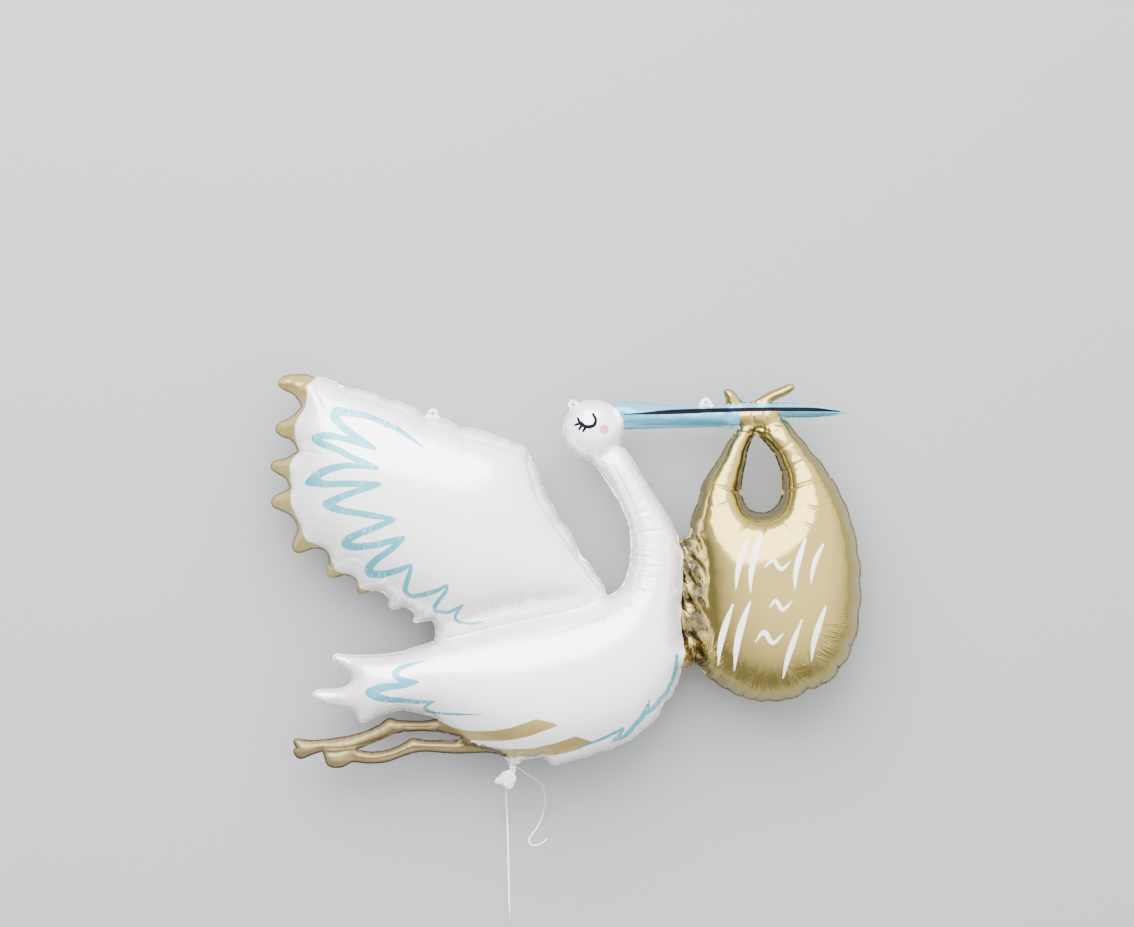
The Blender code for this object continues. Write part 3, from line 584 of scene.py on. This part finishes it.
# Single creases: a path, its width in pixels and its depth.
creases = [
    ([(709, 485), (722, 487), (733, 490.5), (742, 492.5)], 1.6, 0.0030),
    ([(712, 508), (722, 504), (732, 500)], 1.5, 0.0022),
    ([(746, 520), (741, 528), (735, 537)], 1.5, 0.0022),
    ([(762.5, 522), (762.7, 536)], 1.5, 0.0020),
    ([(783, 521), (789, 529), (795, 538)], 1.5, 0.0022),
    ([(792, 514), (804, 523), (818, 533)], 1.5, 0.0022),
    ([(796, 503), (810, 507), (824, 510.5)], 1.5, 0.0022),
    ([(783, 491.5), (794, 487), (805, 483), (828, 478.5)], 1.8, 0.0036),
    ([(784, 471), (795, 464), (806, 459)], 1.6, 0.0030),
    ([(776, 452), (786, 446), (794, 440)], 1.6, 0.0026),
    ([(600, 463), (610, 480), (619, 500), (627, 520), (632, 545)], 2.4, 0.0050),
    ([(609, 459), (621, 481), (631, 503), (638, 524), (640, 540)], 2.2, 0.0040),
    ([(628, 541), (637, 534), (650, 531), (668, 530)], 2.0, 0.0036),
    ([(637, 514), (645, 512), (652, 514)], 1.6, 0.0020),
    ([(624, 553), (645, 556), (668, 555)], 1.5, 0.0018),
    ([(622, 563), (645, 566), (668, 565)], 1.5, 0.0018),
    ([(621, 573), (645, 577), (666, 576)], 1.5, 0.0018),
    ([(618, 583), (640, 590), (662, 590)], 1.5, 0.0018),
    ([(612, 592), (628, 602), (646, 608)], 1.6, 0.0022),
    ([(604, 596), (616, 608), (628, 620)], 1.6, 0.0024),
    ([(598, 600), (602, 616), (604, 632)], 1.6, 0.0020),
    ([(306, 384), (315, 392), (322, 404), (328, 411)], 2.4, 0.0034),
    ([(301, 452), (312, 452), (322, 454)], 1.8, 0.0030),
    ([(299, 519), (310, 520), (318, 518)], 1.8, 0.0030),
    ([(331, 568), (342, 560), (352, 556), (362, 559), (368, 566)], 2.4, 0.0046),
    ([(356, 584), (362, 583), (374, 582), (380, 578)], 2.0, 0.0030),
    ([(384, 594), (386, 582), (392, 574)], 2.0, 0.0036),
    ([(412, 612), (412, 602), (416, 594)], 2.0, 0.0026),
    ([(402, 416), (401, 428)], 1.8, 0.0026),
    ([(466, 435), (466, 446), (464, 453)], 1.8, 0.0028),
    ([(330, 385), (345, 392), (366, 399), (400, 410), (421, 420)], 2.2, 0.0060),
    ([(421, 420), (440, 427), (470, 438), (500, 445), (515, 452)], 2.2, 0.0070),
    ([(528, 458), (531, 474), (538, 494), (548, 512)], 2.0, 0.0070),
    ([(532, 488), (550, 516), (570, 545), (588, 571), (600, 590)], 2.0, 0.0080),
    ([(323, 752), (334, 752.6), (345, 751), (357, 749.5)], 1.8, 0.0060),
    ([(312, 748), (350, 747), (380, 738), (395, 731)], 1.4, 0.0040),
    ([(398, 726), (415, 727), (430, 726.5), (437, 724)], 1.4, 0.0050),
    ([(352, 757.5), (375, 759), (395, 755), (412, 748.5), (440, 748), (470, 748.5)], 1.4, 0.0040),
    ([(727.5, 411), (728, 425)], 1.6, 0.0030),
    ([(738, 411), (737, 426)], 1.6, 0.0026),
    ([(752, 411), (753, 424)], 1.6, 0.0030),
    ([(764, 411), (766, 423)], 1.6, 0.0026),
]
# Bands of fine ribs laid across a line: the line, how far they reach from it in pixels and how strong
# they are.
ribBands = [
    ([(431, 618), (470, 611), (520, 603), (560, 596), (600, 594)], 24.0, 0.8),
    ([(650, 528), (646, 548), (642, 570), (634, 590), (618, 604), (596, 610)], 28.0, 0.9),
    ([(690, 610), (700, 640), (716, 664), (750, 682), (790, 684), (830, 672)], 12.0, 0.5),
    ([(324, 743.5), (345, 740), (360, 736), (372, 732), (386, 727)], 9.0, 0.7),
    ([(352, 756), (372, 757), (390, 754), (404, 748), (416, 745)], 9.0, 0.6),
]
# Crumpled foil: a path, its width in pixels, the size of its facets and how steep they are.
crumples = [
    ([(440, 618), (490, 607), (540, 600), (590, 592), (618, 596)], 16.0, 0.034, 0.07),
    ([(690, 540), (692, 600), (694, 662)], 17.0, 0.042, 0.24),
    ([(437, 733), (475, 744), (505, 755)], 5.0, 0.010, 0.25),
    ([(730, 427), (750, 430), (776, 428)], 5.5, 0.013, 0.30),
    ([(512.5, 761), (512.5, 773)], 6.0, 0.008, 0.40),
]
# Bands of painted shade in dark folds: a band of points with its width at each.
foldShadeBands = [
    [(437, 729, 1.5), (450, 737, 3), (462, 742, 3.6), (480, 746, 3.6), (500, 752, 3), (512, 761, 2)],
    [
        (686, 536, 10), (689, 552, 20), (691, 575, 24), (692, 600, 26), (693, 625, 26), (694, 645, 24),
        (698, 664, 12),
    ],
]
# The slack foil below the tie, its box in pixels and its heights in metres.
skirt = {
    "top": 769.4,
    "bottom": 790.0,
    "left": 489.0,
    "right": 520.0,
    "film": 0.0011,
    "slack": 0.004,
    "flute": 0.0045,
    "fluteMiddle": 503.0,
    "flutesPerPixel": 0.62,
}


def coordinates(mesh):
    flat = np.empty(len(mesh.vertices) * 3)
    mesh.vertices.foreach_get("co", flat)
    return flat.reshape(-1, 3)


def storeAttribute(mesh, name, values):
    made = mesh.attributes.get(name) or mesh.attributes.new(name, "FLOAT", "POINT")
    made.data.foreach_set("value", np.asarray(values, np.float32))


def onRim(edge, seam):
    # Whether an edge lies along the seam, between an upper and a lower face.
    above = [face.calc_center_median().z > seamHeight for face in edge.link_faces]
    return min(vert[seam] for vert in edge.verts) > 0.999 and sorted(above) == [False, True]


def skinFromFrame():
    # One closed smooth skin over the CAD envelope, with its seam kept sharp.
    mesh = bmesh.new()
    mesh.from_mesh(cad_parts["foil_envelope"].data)
    bmesh.ops.remove_doubles(mesh, verts=mesh.verts, dist=0.00002)
    bmesh.ops.recalc_face_normals(mesh, faces=mesh.faces)
    seam = mesh.verts.layers.float.new("seam")
    crease = mesh.edges.layers.float.new("crease_edge")
    for vert in mesh.verts:
        vert[seam] = 1.0 if abs(vert.co.z - seamHeight) < 0.0002 else 0.0
    for edge in mesh.edges:
        if edge.verts[0][seam] + edge.verts[1][seam] == 2.0:
            edge[crease] = 1.0
    corner = mesh.verts.layers.float.new("crease_vert")
    mesh.normal_update()
    for vert in mesh.verts:
        rim = [edge.other_vert(vert).co - vert.co for edge in vert.link_edges if onRim(edge, seam)]
        if len(rim) == 2:
            turn = rim[0].angle(-rim[1])
            notch = (rim[0] + rim[1]).dot(vert.normal) > 0.0
            if turn > foil["needle"] or (notch and turn > foil["corner"]):
                vert[corner] = 0.9
    data = bpy.data.meshes.new("foilEnvelope")
    mesh.to_mesh(data)
    mesh.free()
    holder = bpy.data.objects.new("foilHolder", data)
    bpy.context.collection.objects.link(holder)
    rounding = holder.modifiers.new("rounding", "SUBSURF")
    rounding.levels = 2
    rounding.render_levels = rounding.levels
    underside = holder.vertex_groups.new(name="underside")
    underside.add([vert.index for vert in data.vertices if vert.co.z < seamHeight - 0.02], 1.0, "REPLACE")
    thinning = holder.modifiers.new("thinning", "DECIMATE")
    thinning.vertex_group = underside.name
    thinning.ratio = foil["kept"]
    smooth = bpy.data.meshes.new_from_object(holder.evaluated_get(bpy.context.evaluated_depsgraph_get()))
    bpy.data.objects.remove(holder)
    return smooth


def evenBand(path, reach):
    return [(x, y, 2.0 * reach) for x, y in path]


def refineSkin(data):
    # Short edges along the rims of the brush strokes, along creases and where the foil is crumpled.
    mesh = bmesh.new()
    mesh.from_mesh(data)
    bmesh.ops.triangulate(mesh, faces=mesh.faces)
    strokes = [wingStroke, tailStroke, chestStroke, flankStroke, bellyStroke, mouthLine, *brushMarks]
    for refining in range(foil["refinings"]):
        spots = onPhoto(np.array([vert.co for vert in mesh.verts]))
        rims = np.abs(strokeField(spots, strokes))
        eye = strokeField(spots, eyeLines)
        crumpled = strokeField(spots, [evenBand(path, width) for path, width, *rest in crumples[1:]])
        creased = strokeField(spots, [evenBand(path, width * 1.4) for path, width, *rest in creases])
        wanted = np.where(crumpled > 0.0, foil["crumpleEdge"], 1.0)
        wanted[creased > 0.0] = foil["creaseEdge"]
        mesh.verts.index_update()
        chosen = []
        for edge in mesh.edges:
            one, two = edge.verts
            if one.co.z + two.co.z < 2.0 * seamHeight:
                continue
            length = edge.calc_length()
            reach = 0.6 * length / pixel
            ends = (one.index, two.index)
            if length > foil["finestEdge"] and min(rims[i] for i in ends) < reach:
                chosen.append(edge)
            elif length > min(wanted[i] for i in ends):
                chosen.append(edge)
            elif length > foil["eyeEdge"] and max(eye[i] for i in ends) > -reach:
                chosen.append(edge)
        bmesh.ops.subdivide_edges(mesh, edges=chosen, cuts=1, smooth=0.0)
        bmesh.ops.triangulate(mesh, faces=[face for face in mesh.faces if len(face.verts) > 3])
    mesh.to_mesh(data)
    mesh.free()


def seamLoops(data):
    # Every closed run of the seam, as places in order: its edges lie between an upper and a lower face.
    mesh = bmesh.new()
    mesh.from_mesh(data)
    seam = mesh.verts.layers.float["seam"]
    links = {}
    for edge in mesh.edges:
        if onRim(edge, seam):
            one, two = edge.verts
            links.setdefault(one, []).append(two)
            links.setdefault(two, []).append(one)
    loops = []
    for first in mesh.verts:
        if first not in links:
            continue
        loop = [first]
        while loop[-1] in links:
            onward = [other for other in links.pop(loop[-1]) if other in links]
            loop.extend(onward[:1])
        loops.append(np.array([vert.co for vert in [*loop, first]]))
    mesh.free()
    print("seam:", [round(pathLength(loop), 2) for loop in loops], "m")
    return loops


def foldsAlong(points, chance, which):
    # Folds along a run of the seam: where each is, how strong it is and how far in it reaches.
    runs = np.concatenate([[0.0], np.cumsum(np.linalg.norm(np.diff(points, axis=0), axis=1))])
    spots = onPhoto(points)
    folds = []
    at = 0.0
    while at < runs[-1]:
        spot = [np.interp(at, runs, spots[:, axis]) for axis in (0, 1)]
        for (left, top, right, bottom), deep, fine, reach, strength, ribs in gathers:
            if left <= spot[0] <= right and top <= spot[1] <= bottom:
                break
        gap = (deep, fine)[which] * pixel * chance.uniform(0.65, 1.35)
        length = (reach, reach * 0.5)[which] * pixel * chance.uniform(0.6, 1.4)
        folds.append((at, gap * strength * chance.uniform(0.7, 1.3), length, reach * pixel, ribs))
        at += gap
    folds.append((runs[-1], *folds[0][1:]))
    return runs, np.array(folds)


def foldHeights(runAt, depth, folds, swell):
    # The film between two folds rises like a pillow, and the folds fade away from the seam.
    index = np.clip(np.searchsorted(folds[:, 0], runAt) - 1, 0, len(folds) - 2)
    start, end = folds[index], folds[index + 1]
    t = np.clip((runAt - start[:, 0]) / np.maximum(end[:, 0] - start[:, 0], 1e-6), 0.0, 1.0)
    strength = start[:, 1] * (1 - t) + end[:, 1] * t
    reach = start[:, 2] * (1 - t) + end[:, 2] * t
    fade = np.clip(1.0 - depth / reach, 0.0, 1.0) ** 1.5
    rise = 0.6 + 0.4 * smoothStep(depth, 0.0, 0.012)
    return swell * strength * (1.0 - (2.0 * t - 1.0) ** 2 - 0.62) * fade * rise


def facetHeights(places, size, steepness, chance):
    # Flat facets with straight creases between them, as crumpled foil has: triangle waves laid across
    # each other.
    heights = np.zeros(len(places))
    for wave in range(foil["facetWaves"]):
        angle = chance.uniform(0.0, math.pi)
        length = size * chance.uniform(0.8, 2.0)
        swing = chance.uniform(0.3, 0.6)
        bend = swing * np.sin(places[:, 0] / size * chance.uniform(0.3, 0.8) + places[:, 1] / size * 0.5)
        phase = (places[:, 0] * math.cos(angle) + places[:, 1] * math.sin(angle)) / length + bend
        heights += steepness * length * 0.5 * (np.abs(phase % 1.0 - 0.5) * 2.0 - 0.5)
    return heights


def shapeSkirt(places, spots):
    # Two thin sheets, fluted together.
    down = np.clip((spots[:, 1] - skirt["top"]) / (skirt["bottom"] - skirt["top"]), 0.0, 1.0)
    within = (down > 0.0) & (spots[:, 0] > skirt["left"]) & (spots[:, 0] < skirt["right"])
    rise = places[:, 2] - seamHeight
    slack = skirt["film"] + skirt["slack"] * (1.0 - down) ** 2
    turn = (spots[:, 0] - skirt["fluteMiddle"]) * skirt["flutesPerPixel"]
    fluted = skirt["flute"] * np.sin(turn) * smoothStep(down, 0.1, 0.9)
    places[within, 2] = (seamHeight + np.clip(rise, -slack, slack) + fluted)[within]


def gatherFilm(mesh, loops):
    # Flatten the weld, then throw the film into folds that start at the seam.
    places = coordinates(mesh)
    normals = np.empty(len(places) * 3)
    mesh.vertices.foreach_get("normal", normals)
    normals = normals.reshape(-1, 3)
    chance = random.Random(foil["seed"])
    corners = np.vstack([loop[:-1] for loop in loops])
    owner = np.concatenate([np.full(len(loop) - 1, i) for i, loop in enumerate(loops)])
    order = np.concatenate([np.arange(len(loop) - 1) for loop in loops])
    tree = KDTree(len(corners))
    for i, corner in enumerate(corners):
        tree.insert((corner[0], corner[1], 0.0), i)
    tree.balance()
    nearest = np.array([tree.find((place[0], place[1], 0.0))[1] for place in places])
    depth = np.linalg.norm(places[:, :2] - corners[nearest][:, :2], axis=1)
    runAt = np.zeros(len(places))
    ribFade = np.zeros(len(places))
    bump = np.zeros(len(places))
    for i, loop in enumerate(loops):
        mine = owner[nearest] == i
        spot = order[nearest[mine]]
        ahead = loop[spot + 1][:, :2] - loop[spot - 1 - (spot == 0)][:, :2]
        span = np.maximum(np.linalg.norm(ahead, axis=1), 1e-9)
        ahead /= span[:, None]
        away = places[mine, :2] - loop[spot][:, :2]
        slide = (away * ahead).sum(1)
        beside = away[:, 0] * ahead[:, 1] - away[:, 1] * ahead[:, 0]
        depth[mine] = np.hypot(beside, np.maximum(np.abs(slide) - span / 4.0, 0.0))
        for which in (0, 1):
            runs, folds = foldsAlong(loop, chance, which)
            at = np.clip(runs[spot] + slide, 0.0, runs[-1])
            bump[mine] += foldHeights(at, depth[mine], folds, foil["swell"][which])
        runAt[mine] = at
        reach, ribs = (np.interp(at, folds[:, 0], folds[:, column]) for column in (3, 4))
        ribFade[mine] = np.clip(1.0 - depth[mine] / (reach * 1.3), 0.0, 1.0) * ribs
    spots = onPhoto(places)
    acrossRun = np.zeros(len(places))
    acrossFade = np.zeros(len(places))
    for line, reach, strength in ribBands:
        path = evenPath(smoothPath(line), foil["bandStep"])
        gap, along = distanceToPath(spots, path)
        ends = smoothStep(along, 0.0, 4.0) * smoothStep(along, len(path), len(path) - 5.0)
        fade = strength * np.clip(1.0 - gap / reach, 0.0, 1.0) * ends
        acrossRun = np.where(fade > acrossFade, along * foil["bandStep"] * pixel, acrossRun)
        acrossFade = np.maximum(acrossFade, fade)
    for path, width, size, steepness in crumples:
        gap = distanceToPath(spots, np.array(path, float))[0]
        near = gap < width
        facets = facetHeights(places[near], size, steepness, chance)
        bump[near] += facets * smoothStep(gap[near], width, width * 0.35)
    for path, width, fall in creases:
        line = smoothPath(path, 6)
        gap, along = distanceToPath(spots, line)
        taper = np.sin(np.pi * np.clip(along / (len(line) - 1), 0.03, 0.97)) ** 0.6
        bump -= fall * taper * (np.exp(-((gap / width) ** 2)) - 0.35 * np.exp(-((gap / width / 2.4) ** 2)))
    for tab in tabs:
        bump *= smoothStep(np.hypot(*(spots - tab).T), *foil["tabRims"])
    flat = np.maximum(smoothStep(depth, *foil["weld"]), smoothStep(areaField(spots, knotEars), 0.0, 2.0))
    rise = places[:, 2] - seamHeight
    film = np.sign(rise) * np.minimum(np.abs(rise), foil["film"])
    places[:, 2] = seamHeight + np.where(np.abs(rise * flat) > np.abs(film), rise * flat, film)
    places += normals * bump[:, None]
    shapeSkirt(places, spots)
    places[:, 2] = np.maximum(places[:, 2], 0.0002)
    mesh.vertices.foreach_set("co", places.ravel())
    storeAttribute(mesh, "runAlong", runAt)
    storeAttribute(mesh, "seamDepth", depth)
    storeAttribute(mesh, "ribFade", ribFade)
    storeAttribute(mesh, "acrossRun", acrossRun)
    storeAttribute(mesh, "acrossFade", acrossFade)
    return spots


def printFields(mesh, spots):
    # The artwork, and the bands of painted fold shade, as fields that are more than nothing inside each
    # colour.
    goldInk = np.maximum.reduce([areaField(spots, area) for area in (wingTips, legArea, *bellyStripes)])
    goldFoil = np.maximum.reduce([areaField(spots, area) for area in (bundleArea, knotEars)])
    blueStrokes = [wingStroke, tailStroke, chestStroke, flankStroke, bellyStroke]
    fromCheek = np.hypot(*(spots - cheek["middle"]).T)
    storeAttribute(mesh, "goldInk", goldInk)
    # painted shade in dark folds, on the legs and on the web
    storeAttribute(mesh, "paintedFoldShade", strokeField(spots, foldShadeBands))
    storeAttribute(mesh, "onEars", areaField(spots, knotEars))
    storeAttribute(mesh, "onLegs", areaField(spots, legArea))
    storeAttribute(mesh, "goldFoil", goldFoil)
    storeAttribute(mesh, "blueInk", strokeField(spots, blueStrokes))
    storeAttribute(mesh, "beakInk", areaField(spots, beakArea))
    storeAttribute(mesh, "beakDown", spots[:, 1] - beakMiddle)
    storeAttribute(mesh, "blackInk", strokeField(spots, [mouthLine, *eyeLines]))
    storeAttribute(mesh, "pinkInk", cheek["radius"] - fromCheek)
    storeAttribute(mesh, "whiteInk", strokeField(spots, brushMarks))


foilColours = {
    "white": (0.97, 0.97, 0.975, 1.0),
    # painted shade: a grey line where the flat weld meets the rising film
    "whiteWeldShade": (0.36, 0.31, 0.32, 1.0),
    "blue": (0.075, 0.39, 0.51, 1.0),
    "blueStreak": (0.44, 0.76, 0.84, 1.0),
    # the beak is painted lighter on top and darker underneath, as painted shade
    "beakLitTop": (0.14, 0.42, 0.60, 1.0),
    "beakShadedUnder": (0.08, 0.36, 0.50, 1.0),
    # painted highlight: a pale line near the beak's lower edge
    "beakHighlight": (0.42, 0.70, 0.82, 1.0),
    "satin": (0.47, 0.36, 0.135, 1.0),
    # the same gold ink painted darker on the legs, as painted shade
    "legsShaded": (0.25, 0.195, 0.088, 1.0),
    # painted shade: a dark edge along the seam of the gold ink
    "satinRimShade": (0.08, 0.058, 0.028, 1.0),
    # painted shade in the dark folds of the gold ink
    "satinFoldShade": (0.07, 0.05, 0.025, 1.0),
    "gold": (0.42, 0.33, 0.108, 1.0),
    # painted shade: a dark line where the flat weld meets the rising film
    "goldWeldShade": (0.17, 0.125, 0.055, 1.0),
    # painted shade: a darker, plainer band at the foot of the film's rise
    "goldFootShade": (0.27, 0.24, 0.165, 1.0),
    # painted shade in the dark folds of the gold web
    "goldFoldShade": (0.10, 0.083, 0.052, 1.0),
    "brush": (1.0, 0.985, 0.97, 1.0),
    "pink": (0.66, 0.28, 0.50, 1.0),
    "black": (0.008, 0.008, 0.012, 1.0),
}
# Lines of painted shade beside the seam, in the creases where the film turns: how far from it in metres,
# and how sharp.
foilLines = {"weld": (0.0050, 500.0), "rim": (0.0030, 300.0), "foot": (0.0095, 150.0)}


def foilFinish():
    finish = Finish("foil")
    depth = finish.attribute("seamDepth")

    def inked(name, softness=0.5):
        return (finish.attribute(name) / softness + 0.5).clamped()

    def seamLine(name):
        middle, sharpness = foilLines[name]
        return (1.0 - abs(depth - middle) * sharpness).clamped()

    def painted(factor, under, over):
        # Each colour is one made before, or a name in foilColours.
        one, two = (foilColours[shade] if isinstance(shade, str) else shade for shade in (under, over))
        return finish.mixed(factor, one, two)

    place = finish.place()
    grain = finish.noise(place, 260.0, 2.0)
    hatch = finish.noise(finish.place((4.0, 1.0, 1.0)), 62.0, 2.0, 0.6)
    patch = finish.noise(place, 13.0, 1.0)
    goldInk = inked("goldInk")
    goldFoil = inked("goldFoil")
    whiteInk = inked("whiteInk") * goldFoil
    blackInk = inked("blackInk", 0.6)
    onLegs = inked("onLegs")
    offEars = 1.0 - inked("onEars")
    # where shade is painted into dark folds
    paintedFoldShade = finish.attribute("paintedFoldShade")

    streak = ((hatch - 0.52) * 9.0).clamped() * ((patch - 0.42) * 6.0).clamped()
    blue = painted(streak * 0.85, "blue", "blueStreak")
    # painted shade: the beak darker toward its lower half, with a painted highlight line near its lower
    # edge
    down = finish.attribute("beakDown")
    beak = painted((down * 0.7 + 0.5).clamped(), "beakLitTop", "beakShadedUnder")
    fromHighlight = down - 15.5
    beak = painted((1.0 - fromHighlight * fromHighlight * 0.3).clamped() * 0.7, beak, "beakHighlight")

    # painted shade along the weld's inner edge, on the white film
    white = painted(seamLine("weld") * 0.75, "white", "whiteWeldShade")
    # painted shade along the seam's edge of the gold ink, stronger on the legs
    rimDepth, rimSharpness = foilLines["rim"]
    rim = (1.0 - (depth - rimDepth) * rimSharpness).clamped() * (onLegs * 0.55 + 0.4)
    # the legs' gold ink painted darker, as painted shade
    satin = painted(rim, painted(onLegs, "satin", "legsShaded"), "satinRimShade")
    # painted shade in the legs' dark folds, broken up by noise
    foldShadeMask = (paintedFoldShade * 0.9 + 0.4 + (finish.noise(place, 190.0, 2.0) - 0.5) * 5.0).clamped()
    satin = painted(foldShadeMask * 0.85, satin, "satinFoldShade")

    # painted shade along the weld's inner edge, on the gold film
    gold = painted(seamLine("weld") * offEars * 0.55, "gold", "goldWeldShade")
    # painted shade in a band at the foot of the gold film's rise
    gold = painted(seamLine("foot") * offEars * 0.8, gold, "goldFootShade")
    # painted shade in the gold web's dark folds, broken up by noise
    foldShadeBreakup = ((finish.noise(place, 46.0, 2.0) - 0.5) * 8.0 + 0.5).clamped() * 0.45 + 0.55
    gold = painted(foldShadeBreakup * (paintedFoldShade * 0.2).clamped(), gold, "goldFoldShade")

    colour = painted(goldInk, white, satin)
    colour = painted(inked("blueInk"), colour, blue)
    colour = painted(inked("beakInk"), colour, beak)
    colour = painted(goldFoil, colour, gold)
    colour = painted(whiteInk, colour, "brush")
    colour = painted(inked("pinkInk"), colour, "pink")
    colour = painted(blackInk, colour, "black")

    mirror = (goldFoil - whiteInk - blackInk).clamped()
    metal = (mirror + goldInk * 0.3 + blackInk - whiteInk * 0.3 - onLegs * 0.1 + 0.32).clamped()
    roughness = whiteInk * 0.16 + blackInk * 0.3 + onLegs * 0.13 - goldFoil * 0.09 + 0.22
    coat = 0.4 - goldFoil * 0.4 - blackInk * 0.4 - goldInk * 0.3 - onLegs * 0.1

    def ribbed(alongRun, away, fade, dense):
        # Thin valleys side by side, each along the way that away grows.
        vector = finish.add("CombineXYZ", "Vector", X=finish.attribute(alongRun) * dense, Y=away)
        return abs(finish.noise(vector, 1.0, 2.0, 0.6) - 0.5) * finish.attribute(fade)

    fromSeam = ribbed("runAlong", depth * 9.0, "ribFade", 95.0)
    acrossBands = ribbed("acrossRun", finish.attribute("acrossFade") * 0.3, "acrossFade", 120.0)
    wobble = finish.noise(place, 26.0, 3.0) * (0.0014 - goldFoil * 0.0010)
    height = fromSeam * 0.021 + acrossBands * 0.017 + wobble
    finish.shade(
        Base_Color=colour,
        Metallic=metal,
        Roughness=(roughness + (grain - 0.5) * 0.05).clamped(),
        Coat_Weight=coat.clamped(),
        Normal=finish.add("Bump", "Normal", Strength=0.55, Distance=1.0, Height=height),
    )
    return finish


def makeEnvelope():
    skin = skinFromFrame()
    loops = seamLoops(skin)
    refineSkin(skin)
    spots = gatherFilm(skin, loops)
    printFields(skin, spots)
    envelope = newPiece("foilEnvelope", skin, foilFinish())
    skin.shade_smooth()
    skin.calc_loop_triangles()
    print("foil envelope:", len(skin.loop_triangles), "triangles")
    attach(envelope, "root")
    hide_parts("foil_envelope")


makeEnvelope()


# Stage

stage = {
    "floorSize": 40.0,
    "floorColour": (0.33, 0.342, 0.355, 1.0),
    "softboxPlace": (-0.9, 3.4, 3.6),
    "softboxTarget": (0.0, 0.0, 0.1),
    "softboxSize": (7.0, 4.8),
    "softboxPower": 680.0,
    "airColour": (1.0, 0.99, 0.975, 1.0),
    "airSlope": (0.35, 0.6, 1.05, -0.05),  # how fast it brightens to the right, far and up, and an offset
    "airLight": 3.1,
    "horizonLight": 0.6,
}


def makeFloor():
    bpy.ops.object.select_all(action="DESELECT")
    bpy.ops.mesh.primitive_plane_add(size=stage["floorSize"], location=(0.0, 0.0, 0.0))
    floor = bpy.context.object
    floor.name = "floor"
    finish = Finish("floorPaper")
    finish.shade(Base_Color=stage["floorColour"], Roughness=0.9)
    floor.data.materials.append(finish.material)


def addSoftbox():
    data = bpy.data.lights.new("keySoftbox", "AREA")
    data.shape = "ELLIPSE"
    data.size, data.size_y = stage["softboxSize"]
    data.energy = stage["softboxPower"]
    light = bpy.data.objects.new("keySoftbox", data)
    bpy.context.collection.objects.link(light)
    light.location = stage["softboxPlace"]
    aim = Vector(stage["softboxTarget"]) - Vector(stage["softboxPlace"])
    light.rotation_euler = aim.to_track_quat("-Z", "Y").to_euler()


def makeWorld():
    # Even studio air, dimmer toward the horizon and on the near left side.
    world = bpy.data.worlds.new("studio")
    world.use_nodes = True
    nodes = NodeTree(world.node_tree)
    way = nodes.add("TexCoord", "Generated")
    right, far, up = (nodes.add("SeparateXYZ", axis, Vector=way) for axis in ("X", "Y", "Z"))
    toRight, toFar, toUp, offset = stage["airSlope"]
    light = (up * toUp + far * toFar + right * toRight + offset).clamped() * stage["airLight"]
    background = world.node_tree.nodes["Background"]
    nodes.set(background, "Color", stage["airColour"])
    nodes.set(background, "Strength", light + stage["horizonLight"])
    bpy.context.scene.world = world


makeFloor()
addSoftbox()
makeWorld()
print("studio: floor, softbox and air")
